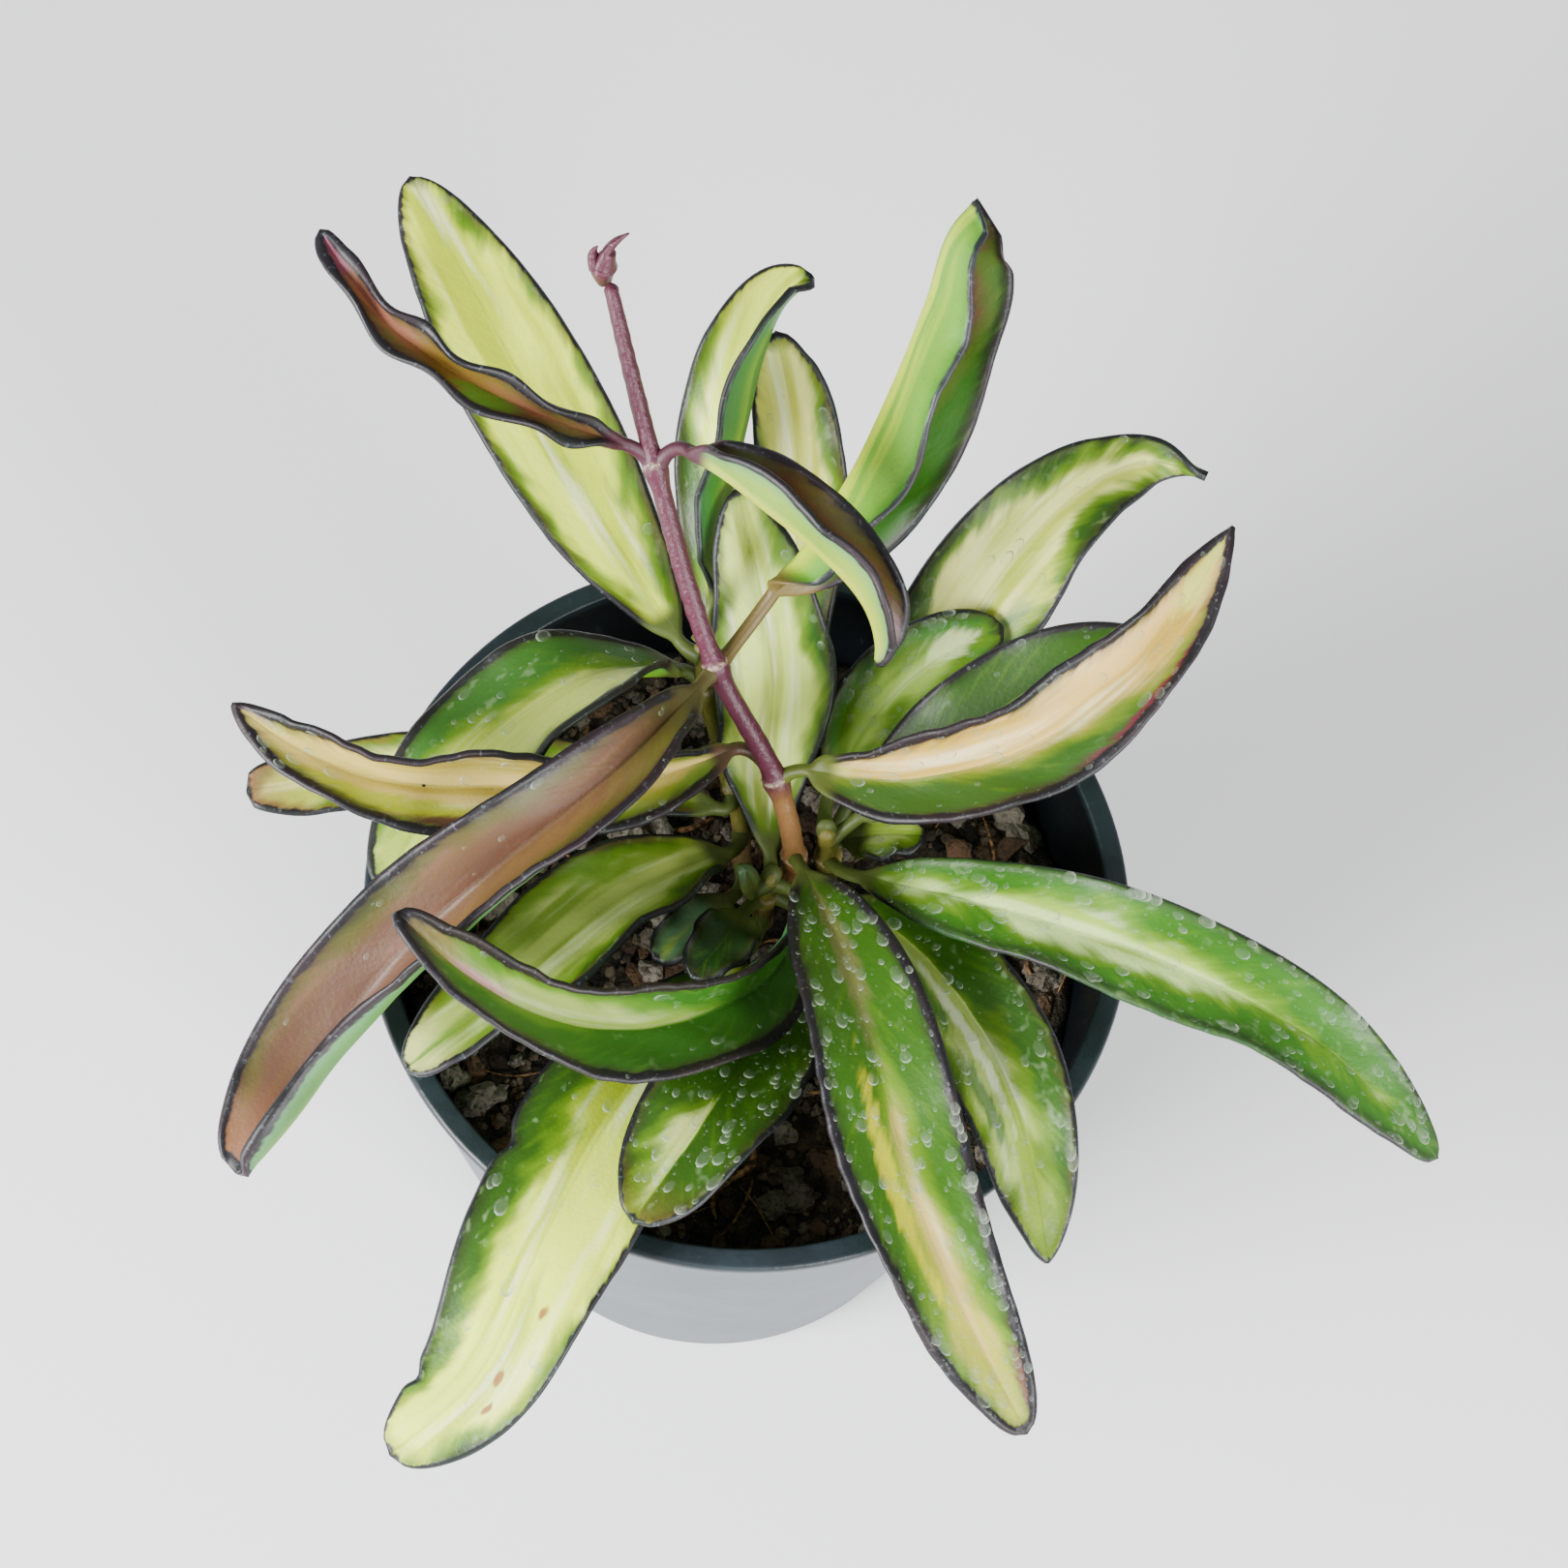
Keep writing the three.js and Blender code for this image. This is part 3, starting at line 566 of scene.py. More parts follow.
@dataclass(frozen=True)
class Leaf:
    """One leaf: a midrib through listed points, an outline, folds along it, and its stalk.

    roll turns the blade about its midrib at base and tip, in degrees. left and right give each half's fold
    above flat at base and tip, and its further curl by the margin; a fourth number is the curl at the tip
    where it differs. peak, base and blunt shape the outline.
    notches are bites from the margin: side (-1 left, 1 right), place from 0 to 1, depth and length, in mm.
    """

    name: str
    slot: str
    stem: str
    node: float
    width: float
    midrib: Points
    skin: LeafFinish
    roll: tuple[float, float] = (0.0, 0.0)
    left: tuple[float, ...] = (12.0, 12.0, 10.0)
    right: tuple[float, ...] = (12.0, 12.0, 10.0)
    wave: float = 0.6
    waves: float = 3.0
    phase: float = 0.0
    peak: float = 0.45
    base: float = 0.6
    blunt: float = 0.45
    twist: float = 0.0
    drops: int = 0
    notches: tuple[tuple[float, float, float, float], ...] = ()

    STRIPS = 30
    STEP = 0.6
    STALK_ROWS = 16

    def seed(self) -> int:
        """A number of the leaf's own, from the letters of its name."""
        return sum((i + 1) * ord(letter) for i, letter in enumerate(self.name))

    def outline(self, s: Array) -> Array:
        """Half width as a share of the widest: a sine rise to the peak, then a cosine fall to the tip.

        Args:
            s: places along the blade, 0 at its base and 1 at its tip.

        Returns:
            The share at each place.
        """
        rise = np.sin(np.pi / 2 * np.clip(s / self.peak, 0, 1)) ** self.base
        past_peak = np.clip((s - self.peak) / (1 - self.peak), 0, 1)
        fall = np.clip(np.cos(np.pi / 2 * past_peak), 0, 1) ** self.blunt
        return np.maximum(np.where(s < self.peak, rise, fall), NARROWEST)

    def spine(self, root: Array) -> tuple[Array, Array, Array, float]:
        """The centre line from the stem through the stalk to the blade's tip.

        The stalk is a quadratic curve from the stem's centre that meets the midrib in its own direction.

        Args:
            root: the place on the stem's centre line.

        Returns:
            Positions, directions, millimetres along the blade (negative on the stalk), and blade length.
        """
        rows = int(np.linalg.norm(np.diff(np.asarray(self.midrib), axis=0), axis=1).sum() / self.STEP)
        blade, heading = smooth_line(self.midrib, max(rows, 24))
        bend = blade[0] - heading[0] * 0.5 * np.linalg.norm(blade[0] - root)
        u = np.linspace(0.0, 1.0, self.STALK_ROWS, endpoint=False)[:, None]
        stalk = (1 - u) ** 2 * root + 2 * u * (1 - u) * bend + u**2 * blade[0]
        toward = unit(2 * (1 - u) * (bend - root) + 2 * u * (blade[0] - bend))
        path = np.concatenate([stalk, blade])
        steps = np.concatenate([[0.0], np.cumsum(np.linalg.norm(np.diff(path, axis=0), axis=1))])
        along = steps - steps[self.STALK_ROWS]
        return path, np.concatenate([toward, heading]), along, float(along[-1])

    def grid(self, root: Array) -> dict[str, Array]:
        """Works out the leaf as rings of points: the upper face left to right, then the under face back.

        Each half bends away from the midrib in an arc: fold gives its first angle and curl what it gains,
        so x = w (sin e - sin f) / c and z = w (cos f - cos e) / c with e = f + c|t|. Half the thickness is
        laid off square to that arc on both sides, rounded at the margin and round at the stalk.

        Args:
            root: where the stalk starts.

        Returns:
            Positions and the vectors that the skin reads, rings by points by 3.
        """
        path, heading, along, length = self.spine(root)
        s = np.clip(along / length, 0.0, 1.0)
        chord = path[-1] - path[self.STALK_ROWS]
        side = unit(np.array([chord[1], -chord[0], 0.0]))
        right = unit(side - heading * (heading @ side)[:, None])
        up = np.cross(right, heading)
        end_turn = self.twist * np.clip((s - 0.8) / 0.2, 0, 1) ** 2
        turn = np.radians(self.roll[0] + (self.roll[1] - self.roll[0]) * s + end_turn)[:, None]
        across_axis = right * np.cos(turn) - up * np.sin(turn)
        up_axis = up * np.cos(turn) + right * np.sin(turn)

        u = np.linspace(-1.0, 1.0, self.STRIPS + 1)
        upper = 0.5 * u + 0.5 * np.sin(np.pi / 2 * u)
        t = np.concatenate([upper, upper[-2:0:-1]])[None, :]
        face = np.concatenate([np.ones(self.STRIPS + 1), -np.ones(self.STRIPS - 1)])[None, :]
        profile = self.outline(s)
        stalk = (1.0 - smoothstep(along, 0.0, 7.0))[:, None]
        flare = 1.0 + 0.5 * np.exp(-(((along - along[0]) / 1.8) ** 2))[:, None]
        round_radius = STALK_RADIUS * flare * stalk
        half = self.width / 2 * profile[:, None] * np.ones_like(t)
        for sign, place, depth, long in self.notches:
            bite = depth * np.exp(-(((along - place * length) / (long / 2)) ** 2))[:, None]
            half = half - bite * (np.sign(t) == sign) * smoothstep(half, 0.5, 3.0)
        half = (half**4 + round_radius**4) ** 0.25

        sign, reach = np.sign(t), np.abs(t)
        opened = np.minimum(1.0, profile / 0.5)[:, None]
        folds, curls = [], []
        for fold_base, fold_tip, curl_base, *curl_tip in (self.left, self.right):
            folds.append((fold_base + (fold_tip - fold_base) * s)[:, None])
            curls.append((curl_base + ((curl_tip or [curl_base])[0] - curl_base) * s)[:, None])
        fold = np.radians(np.where(t < 0, *folds)) * opened
        curl = (np.radians(np.where(t < 0, *curls)) + 1e-3) * opened
        bent = fold + curl * reach
        x = sign * half * (np.sin(bent) - np.sin(fold)) / curl
        z = half * (np.cos(fold) - np.cos(bent)) / curl
        wide = np.minimum(1.0, half / (0.3 * self.width))
        lag = np.where(t > 0, 1.3, 0.0)
        sway = self.wave * reach**2 * np.sin(2 * np.pi * self.waves * s[:, None] + self.phase + lag) * wide
        width_mm = t * half
        place = along[:, None] + 0.0 * t
        sway = sway + 0.16 * soft_noise(place / 7, width_mm / 4, self.seed()) * (1 - stalk)
        crimp = soft_noise(place / 2.6, sign * 5 + 0 * place, self.seed() + 1)
        sway = sway + 0.14 * crimp * reach**4 * wide * (1 - stalk)

        inset = half * (1.0 - reach)
        rounding = np.sqrt(np.clip(1.0 - (1.0 - np.clip(inset / 0.5, 0, 1)) ** 2, 0, 1))
        thick = 0.62 + (0.34 - 0.62) * reach + 0.13 * np.exp(-(((inset - 0.6) / 0.45) ** 2))
        rib = np.exp(-((width_mm / 0.9) ** 2)) * (1 - s[:, None]) ** 0.5
        thick = thick + np.where(face < 0, 0.35, -0.1) * rib
        thick = thick * rounding * (1 - stalk) + np.sqrt(1 - t**2) * round_radius
        rise = sway + face * thick
        normal_x, normal_z = -sign * np.sin(bent), np.cos(bent)
        points = path[:, None] + across_axis[:, None] * (x + normal_x * rise)[..., None]
        points = points + up_axis[:, None] * (z + normal_z * rise)[..., None]

        edge = np.minimum(inset, 0.8 * (length - place))
        marks = np.linspace(0.0, 1.0, len(self.skin.left))
        share = [np.interp(s, marks, reaches) for reaches in (self.skin.left, self.skin.right)]
        share = np.where(t < 0, share[0][:, None], share[1][:, None])
        centre = np.minimum(share * half - np.abs(width_mm), 0.8 * (length - place) - self.skin.tip_mm)
        below = np.where(face < 0, 1.0, 0.0) + 0 * place
        seed = np.full_like(place, self.seed() % 97 * 3.7)
        return {
            "points": points,
            "blade": np.stack([width_mm, place, seed], -1),
            "vein": np.stack([place - 1.7 * np.abs(width_mm), np.abs(width_mm) + 40 * (t > 0), seed], -1),
            "field": np.stack([centre, edge, below], -1),
            "zone": np.stack([t + 0 * place, s[:, None] + 0 * place, stalk + 0 * place], -1),
        }

    def build(self, root: Array) -> tuple[bpy.types.Object, dict[str, Array]]:
        """Builds and dresses the leaf.

        Args:
            root: where its stalk leaves the stem.

        Returns:
            The object and its grid.
        """
        grid = self.grid(root)
        points, faces = capped_tube(grid["points"])
        values = {}
        for key in ("blade", "vein", "field", "zone"):
            rings = grid[key]
            ends = [rings[0].mean(0)[None], rings[-1].mean(0)[None]]
            values[key] = np.concatenate([rings.reshape(-1, 3), *ends])
        piece = make_piece(self.name + "_blade", points, faces, self.slot, self.skin.build(self.name), values)
        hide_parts(self.name)
        return piece, grid


CREAM = LeafFinish()
GREEN = LeafFinish(
    centre="#b4cc3c",
    pale="#e4efb0",
    flush="#86a80a",
    halo="#527800",
    green="#284e00",
    deep="#193404",
    left=(-0.5, -0.2, 0.0, 0.1, 0.1),
    right=(-0.5, -0.2, 0.0, 0.1, 0.1),
    frost=0.3,
)
PINK = LeafFinish(
    centre="#c8a552",
    pale="#eadcae",
    flush="#a88a24",
    halo="#5a7103",
    green="#28500a",
    deep="#1a2a08",
    margin="#100f13",
    margin_tint="#1a0f14",
    under="#4a9455",
    under_flush="#5f9a3c",
    under_edge_sheen="#4a9455",
    blush="#3e1f25",
    stalk="#43301f",
    margin_mm=1.15,
    blush_mm=1.8,
    blushed=0.75,
    drift=1.2,
    feather=0.7,
    frost=0.1,
)
TAN = LeafFinish(
    centre="#774635",
    pale="#9c6250",
    flush="#845026",
    halo="#4e4716",
    green="#38420f",
    deep="#262410",
    margin="#100f13",
    margin_tint="#1c0f16",
    under="#4b7f36",
    under_flush="#88a41c",
    under_edge_sheen="#4b7f5e",
    blush="#33181d",
    stalk="#3f1a28",
    tip="#4a2233",
    margin_mm=0.9,
    blush_mm=1.7,
    blushed=0.65,
    flushed=0.6,
    drift=1.4,
    feather=0.5,
    tipped=0.7,
    frost=0.0,
)

LEAVES = (
    Leaf(
        "leaf_back_left_broad", "leaf_cream", "stem_back", 4.7, 18,
        [[-15, 29.5, 103], [-28.5, 42, 111], [-43.5, 57.5, 121], [-59.5, 76.5, 127]],
        replace(
            CREAM, left=(0.45, 0.68, 0.82, 0.9, 0.9), right=(0.35, 0.55, 0.78, 0.86, 0.9), blushed=0.7,
            tip_mm=0.5,
        ),
        left=(5, 5, 5), right=(5, 5, 5), wave=0.3, peak=0.5, blunt=0.5, drops=10,
    ),
    Leaf(
        "leaf_left_broad", "leaf_cream", "stem_back", 3.9, 19,
        [[-14, 26.5, 100], [-26, 19.5, 106], [-38, 7, 103.5], [-46, -10.5, 98]],
        replace(
            CREAM, centre="#b9c85c", flush="#8fa61e", left=(0.6, 0.85, 0.9, 0.9, 0.8), margin_mm=1.15,
            right=(0.0, 0.1, 0.3, 0.45, 0.5), margin="#1d1611", margin_tint="#161a16", frost=0.6,
            green="#35681a", under="#5f9a1c", under_flush="#86b010",
        ),
        roll=(10, 5), left=(50, -10, 10), right=(5, 5, 5), drops=60,
    ),
    Leaf(
        "leaf_back_sickle", "leaf_cream", "stem_back", 5, 17,
        [
            [-11.5, 31.5, 106], [-12, 38, 111], [-11.5, 45, 117], [-11, 52, 124], [-10.5, 58, 130],
            [-8.5, 64, 134], [-5.5, 67, 136],
        ],
        replace(
            CREAM, left=(0.15, 0.4, 0.72, 0.85, 0.85), right=(0.5, 0.8, 0.8, 0.8, 0.8), under="#2f7018",
            under_flush="#86ab10", under_edge_sheen="#2c6134", tip_mm=0.5,
        ),
        roll=(-10, -10), left=(5, 5, 10), right=(100, 70, 25), peak=0.55, base=0.9,
    ),
    Leaf(
        "leaf_left_notched", "leaf_cream", "stem_back", 2.3, 12,
        [[-6, 14, 86], [-19, 12.5, 90], [-43, 8, 95], [-66, 0, 97]],
        replace(
            CREAM, centre="#eef08a", left=(0.4, 0.6, 0.7, 0.72, 0.8), right=(0.4, 0.6, 0.7, 0.75, 0.8),
            tip="#a86a5e", tipped=0.5, tip_mm=0.3, blush="#7d5a1c", blushed=0.7,
        ),
        left=(8, 8, 8), right=(8, 8, 8), blunt=0.25,
    ),
    Leaf(
        "leaf_back_upright", "leaf_cream", "stem_back", 2.8, 13.5,
        [[1.5, 24.5, 85], [-1, 37, 99], [-3.5, 52, 114], [-6.5, 58, 123], [-9, 61.5, 130]],
        replace(
            CREAM, centre="#e3e682", flush="#bcc022", left=(0.7, 0.88, 0.92, 0.92, 0.9),
            right=(0.2, 0.4, 0.6, 0.62, 0.8), blush="#6b5a1c", blushed=0.5, frost=0.6,
        ),
        peak=0.6, drops=16,
    ),
    Leaf(
        "leaf_left_low", "leaf_cream", "stem_back", 1.7, 17,
        [[-4, 9, 83], [-15.5, -2.5, 91], [-28.5, -21, 96], [-38.5, -33, 96]],
        replace(
            CREAM, centre="#a6b855", pale="#dbe6a8", flush="#6c8a1c", left=(0.4, 0.6, 0.55, 0.6, 0.85),
            right=(0.4, 0.66, 0.72, 0.85, 0.9), blush="#6b4a12", blushed=0.4, tip="#f0f29a", tipped=0.6,
            tip_mm=0.0, frost=0.5,
            patches=(Patch("#5c8f1a", 0.05, 0.93, 0.12, 0.08, 0.8),),
        ),
        left=(10, 10, 60),
    ),
    Leaf(
        "leaf_low_grey", "leaf_green", "stem_back", 1.3, 8,
        [[-2.5, 4.5, 78.5], [-6.5, -1.5, 81], [-11, -7, 81.5]],
        replace(GREEN, green="#4b7048", halo="#5a8058", deep="#2f4f30"),
    ),
    Leaf(
        "leaf_centre_broad", "leaf_cream", "stem_front", 3, 17,
        [[2, 8.5, 84.5], [-1, 21, 90.5], [-2, 27.5, 100], [-5, 33.5, 110], [-10.5, 43, 121]],
        replace(
            CREAM, centre="#c4da66", flush="#93a432", halo="#5c8012", green="#285216", deep="#143012",
            left=(0.5, 0.75, 0.85, 0.85, 0.85), right=(0.5, 0.7, 0.66, 0.6, 0.6), margin_mm=0.5,
        ),
        peak=0.5, base=0.85, blunt=0.55, drops=10,
    ),
    Leaf(
        "leaf_front_round_tip", "leaf_green", "stem_front", 2.1, 18,
        [[9, 1.5, 79], [6.5, -12.5, 85], [-1, -33.5, 96], [-7, -48, 98]],
        replace(
            GREEN, left=(-1.0, -1.0, -0.8, -0.35, 0.1), right=(-1.0, -0.9, -0.4, 0.25, 0.55), feather=1.2,
            centre="#cfdd7c", pale="#f0f4d6", flush="#7ea616", tip="#a8773a", tipped=0.15, tip_mm=0.2,
            flushed=0.9,
        ),
        peak=0.6, drops=150,
    ),
    Leaf(
        "leaf_front_left_cream", "leaf_cream", "stem_front", 1.5, 21.5,
        [
            [1, -2, 77.5], [-6, -17, 85], [-11.5, -31, 91.5], [-17.5, -51, 94.5], [-23, -69, 89],
            [-31.5, -78.5, 84],
        ],
        replace(
            CREAM, left=(0.6, 0.75, 0.86, 0.92, 0.85), right=(0.1, 0.2, 0.42, 0.66, 0.86), frost=0.7,
            tip_mm=0.8,
            blushed=0.1,
            patches=(
                Patch("#8f5a1a", -0.42, 0.72, 0.06, 0.011, 0.95),
                Patch("#8f5a1a", -0.32, 0.82, 0.07, 0.012, 0.95),
                Patch("#8f5a1a", -0.5, 0.86, 0.06, 0.011, 0.95),
            ),
        ),
        left=(8, 8, 5), right=(0, 0, 5), base=0.85, blunt=0.4, drops=60,
        notches=((1, 0.52, 1.2, 4.0), (1, 0.9, 1.0, 3.0)),
    ),
    Leaf(
        "leaf_left_crescent", "leaf_green", "stem_front", 2.6, 17,
        [
            [7, 3.5, 83.5], [5, -7.5, 88.5], [-2, -18, 96.5], [-10, -24, 101.5], [-27, -27.5, 112],
            [-41.5, -22.5, 122],
        ],
        replace(
            GREEN, centre="#93a84c", pale="#c0c987", flush="#789428", halo="#548014", green="#2c6410",
            deep="#2f4f16", margin="#161217", margin_tint="#1d1612", under="#4f8f56", under_flush="#6a9f4c",
            under_edge_sheen="#4f8f66", left=(-0.9, -0.6, -0.2, 0.1, 0.1), right=(-0.9, -0.4, 0.45, 0.6, 0.3),
            margin_mm=1.3, blush="#3b3216", blushed=0.8, tip="#33232e", tipped=0.95, tip_mm=3.0, drift=1.5,
            patches=(
                Patch("#b0757a", 0.1, 0.83, 0.16, 0.07, 0.8),
                Patch("#8f7a3a", 0.2, 0.93, 0.4, 0.06, 0.6),
            ),
        ),
        left=(10, 10, 10), right=(40, 50, 70), drops=16,
    ),
    Leaf(
        "leaf_low_green", "leaf_green", "stem_front", 2, 9,
        [[-0.5, 1, 82.5], [-2, -4, 86], [-5.5, -11, 87.5]],
        replace(GREEN, green="#143a08", deep="#0e2a06", left=(-1,) * 5, right=(-1,) * 5, frost=0.05),
    ),
    Leaf(
        "leaf_bud", "leaf_green", "stem_front", 2.7, 3.2,
        [[0, 3.5, 85], [-0.5, 4, 88], [-1.5, 4.5, 90.5]],
        replace(GREEN, green="#4b6a3c", deep="#3b5530", left=(-1,) * 5, right=(-1,) * 5, margin="#3b5530"),
        left=(10, 10, 10), wave=0,
    ),
    Leaf(
        "leaf_top_left_narrow", "leaf_tan", "stem_main", 5, 9,
        [[-24.5, 38.5, 136], [-33.5, 37, 142], [-44.5, 37, 148], [-55, 41, 151.5], [-64.5, 49.5, 155.5]],
        replace(
            TAN, centre="#7a4a3b", flush="#7d5030", under="#5f7560", under_flush="#7f8a5a",
            under_edge_sheen="#5f7a78",
            patches=(
                Patch("#6b5412", 0.0, 0.5, 0.9, 0.14, 0.75), Patch("#3f6f12", -0.5, 0.42, 0.4, 0.09, 0.85),
                Patch("#66273f", 0.0, 0.93, 1.1, 0.1, 0.7),
            ),
        ),
        roll=(-24, -24), left=(55, 50, 10), right=(55, 50, 10), wave=0.8, waves=4,
    ),
    Leaf(
        "leaf_top_right_arched", "leaf_tan", "stem_main", 5, 14,
        [[-16.5, 38, 138], [-7.5, 31.5, 141], [1, 26.5, 140], [8, 22, 137], [11, 17, 131]],
        replace(
            TAN, centre="#5c361f", pale="#7d4f3a", flush="#50301c", under="#74962c",
            under_flush="#a3ad2a", under_edge_sheen="#4f7f5a",
            patches=(Patch("#3f5a16", 0.0, 0.2, 0.8, 0.1, 0.7), Patch("#5c2638", 0.0, 0.95, 1.2, 0.16, 0.8)),
        ),
        roll=(-30, -30), left=(55, 55, 10), right=(60, 60, 10),
    ),
    Leaf(
        "leaf_back_right_folded", "leaf_tan", "stem_main", 4, 23,
        [[-3.5, 31.5, 117], [3, 42.5, 128], [6, 50, 136], [9, 60.5, 146], [11, 67.5, 154], [13, 69.5, 156]],
        replace(
            TAN, centre="#6f483b", flush="#603c30", pale="#8b5f52", under="#5f941a", under_flush="#b4c814",
            under_edge_sheen="#3d7a1c", halo="#4f6a1c", green="#2f6612", deep="#24401a", margin="#1f2526",
            right=(0.7, 0.3, 0.4, 0.7, 0.6), drift=2.0, feather=0.9, margin_mm=0.5, stalk="#5f5026",
            tipped=0.3,
        ),
        roll=(15, 15), left=(115, 115, 15), right=(5, 5, 10), blunt=0.22, wave=0.9,
    ),
    Leaf(
        "leaf_left_long_pink", "leaf_tan", "stem_main", 4, 18.5,
        [
            [-11, 17.5, 114], [-18.5, 3, 118], [-30.5, -10.5, 114], [-39.5, -19.5, 107.5],
            [-45, -26.5, 102], [-50.5, -36, 98], [-54, -44, 96], [-56.5, -49.5, 94],
        ],
        replace(
            TAN, centre="#5c3d2a", pale="#75503c", flush="#60461f", left=(0.3, 0.5, 0.62, 0.7, 0.6),
            right=(0.6, 0.62, 0.66, 0.7, 0.6), stalk="#4a4420", tip="#8f5a3a", margin_mm=1.2,
            patches=(
                Patch("#5f5c22", -0.3, 0.12, 0.5, 0.12, 0.5),
                Patch("#6f5628", -0.35, 0.4, 0.25, 0.16, 0.45),
            ),
        ),
        left=(15, 0, 15, 190), right=(45, 0, 10), peak=0.68, base=0.5, blunt=0.35, drops=12,
    ),
    Leaf(
        "leaf_right_pink", "leaf_pink", "stem_main", 3, 15.5,
        [[5, 15, 101], [18, 14.5, 105], [31.5, 19, 110], [43.5, 29.5, 117], [52.5, 47.5, 126]],
        replace(
            PINK, left=(0.7, 0.95, 0.95, 0.95, 0.9), right=(0.0, 0.0, 0.2, 0.75, 0.9), stalk="#4f5a1c",
            tip_mm=0.3,
            patches=(
                Patch("#2c4e0a", 0.5, 0.2, 0.35, 0.22, 0.85), Patch("#5c1529", 0.84, 0.72, 0.15, 0.2, 0.95),
                Patch("#c6cf62", -0.1, 0.9, 0.5, 0.1, 0.7), Patch("#a3b46a", -0.2, 0.04, 0.5, 0.06, 0.5),
            ),
        ),
        left=(35, 15, 45), right=(5, 5, 15), base=0.45, blunt=0.7, drops=50,
    ),
    Leaf(
        "leaf_left_pink", "leaf_pink", "stem_main", 3, 15,
        [
            [-5.5, 16, 101], [-16.5, 7.5, 105.5], [-32.5, 1, 111], [-49.5, -2, 113.5],
            [-59.5, 0, 115], [-67.5, 3.5, 116],
        ],
        replace(
            PINK, centre="#bda65a", flush="#9a8a2c", pale="#e2dcaa", left=(0.3, 0.6, 0.75, 0.72, 0.8),
            right=(0.6, 0.85, 0.95, 0.95, 0.9), tip_mm=0.3,
            patches=(
                Patch("#9aa60a", -0.5, 0.66, 0.2, 0.16, 0.9),
                Patch("#4a2420", -0.72, 0.56, 0.15, 0.09, 0.9),
                Patch("#5f7f22", -0.5, 0.06, 0.5, 0.08, 0.7), Patch("#12110f", 0.0, 0.62, 0.06, 0.004, 1.0),
            ),
        ),
        left=(5, 5, 10), right=(45, 35, 85), blunt=0.6, drops=30,
    ),
    Leaf(
        "leaf_front_centre", "leaf_green", "stem_main", 2, 17.5,
        [[6.5, 5.5, 90], [14, -10.5, 100], [18, -19.5, 102], [27, -40, 101], [45.5, -63.5, 90]],
        replace(
            GREEN, centre="#b8a256", pale="#dccc9a", flush="#9aa414", halo="#5c8000", green="#2e5a00",
            deep="#123604", margin="#131217", margin_tint="#1b1417", margin_mm=1.15, blush="#2c2a1a",
            blushed=0.7, left=(-0.5, -0.25, 0.12, 0.45, 0.75), right=(-0.6, -0.35, 0.05, 0.42, 0.72),
            frost=0.1,
            drift=0.8, feather=0.6, tip_mm=0.5,
            patches=(
                Patch("#6f6a3a", 0.0, 0.2, 0.22, 0.2, 0.7), Patch("#5f1f28", -0.7, 0.93, 0.25, 0.07, 0.8),
                Patch("#c4be10", 0.3, 0.6, 0.14, 0.18, 0.7),
            ),
        ),
        drops=240,
    ),
    Leaf(
        "leaf_back_right_broad", "leaf_cream", "stem_side", 1.95, 19,
        [
            [11, 19, 83.5], [17, 31.5, 88], [22.5, 43, 95], [27, 50.5, 101], [31.5, 56, 106],
            [37, 61, 109], [43, 64, 110], [50, 63, 110],
        ],
        replace(
            CREAM, centre="#e6ea86", left=(0.5, 0.8, 0.66, 0.7, 0.4), right=(0.6, 0.85, 0.8, 0.6, 0.4),
            frost=0.5,
            drift=2.6, feather=1.4,
            patches=(Patch("#6f8f6a", 0.62, 0.42, 0.25, 0.1, 0.6),),
        ),
        left=(5, 5, 5), right=(5, 15, 5), peak=0.48, blunt=0.9, twist=120, drops=20,
    ),
    Leaf(
        "leaf_right_round_tip", "leaf_green", "stem_side", 3, 14,
        [[8.5, 19.5, 87.5], [12.5, 28.5, 92], [19.5, 36.5, 96.5], [27, 41.5, 99]],
        replace(
            GREEN, centre="#93b444", pale="#c0d486", flush="#6f961a", left=(0.0, 0.35, 0.4, 0.4, 0.3),
            frost=0.5,
            right=(0.0, 0.35, 0.4, 0.4, 0.3), green="#3b7420",
            patches=(Patch("#cddc9a", -0.1, 0.78, 0.35, 0.12, 0.8),),
        ),
        drops=80,
    ),
    Leaf(
        "leaf_right_dark_green", "leaf_green", "stem_side", 2.6, 15,
        [[12.5, 15, 89], [22.5, 22.5, 100], [35.5, 32, 107.5], [48, 37, 110]],
        replace(
            GREEN, left=(-1,) * 5, right=(-1, -0.6, 0.0, 0.3, 0.2), frost=0.05, margin="#1f1a1c",
            margin_mm=0.8,
            blush="#2a3a14", blushed=0.5,
        ),
        drops=24,
    ),
    Leaf(
        "leaf_right_small", "leaf_green", "stem_side", 1.8, 8,
        [[11.5, 15.5, 79], [16.5, 16, 82], [22, 16.5, 83]],
        replace(GREEN, centre="#a9bd5c", left=(0.3, 0.5, 0.5, 0.5, 0.4), right=(0.3, 0.5, 0.5, 0.5, 0.4)),
        drops=10,
    ),
    Leaf(
        "leaf_right_long", "leaf_cream", "stem_side", 2, 15.5,
        [[14, 7, 88], [28, 1.5, 99], [53, -5, 106], [72.5, -10.5, 104], [92, -20, 94]],
        replace(
            CREAM, centre="#c0de86", pale="#e4f2cc", flush="#8fb41e", halo="#5a8410", green="#336a10",
            deep="#22481a", left=(0.1, 0.5, 0.42, -0.1, -0.8), right=(0.0, 0.3, 0.5, 0.05, -0.8),
            margin_mm=0.2,
            feather=1.3, frost=0.4, blushed=0.15, tip="#3a6a30", tip_mm=6.0, margin="#22421a",
        ),
        drops=190,
    ),
    Leaf(
        "leaf_front_right", "leaf_cream", "stem_side", 1.6, 17,
        [[12.5, 6, 82], [26, -7, 93], [38, -25, 98], [45, -42, 92]],
        replace(
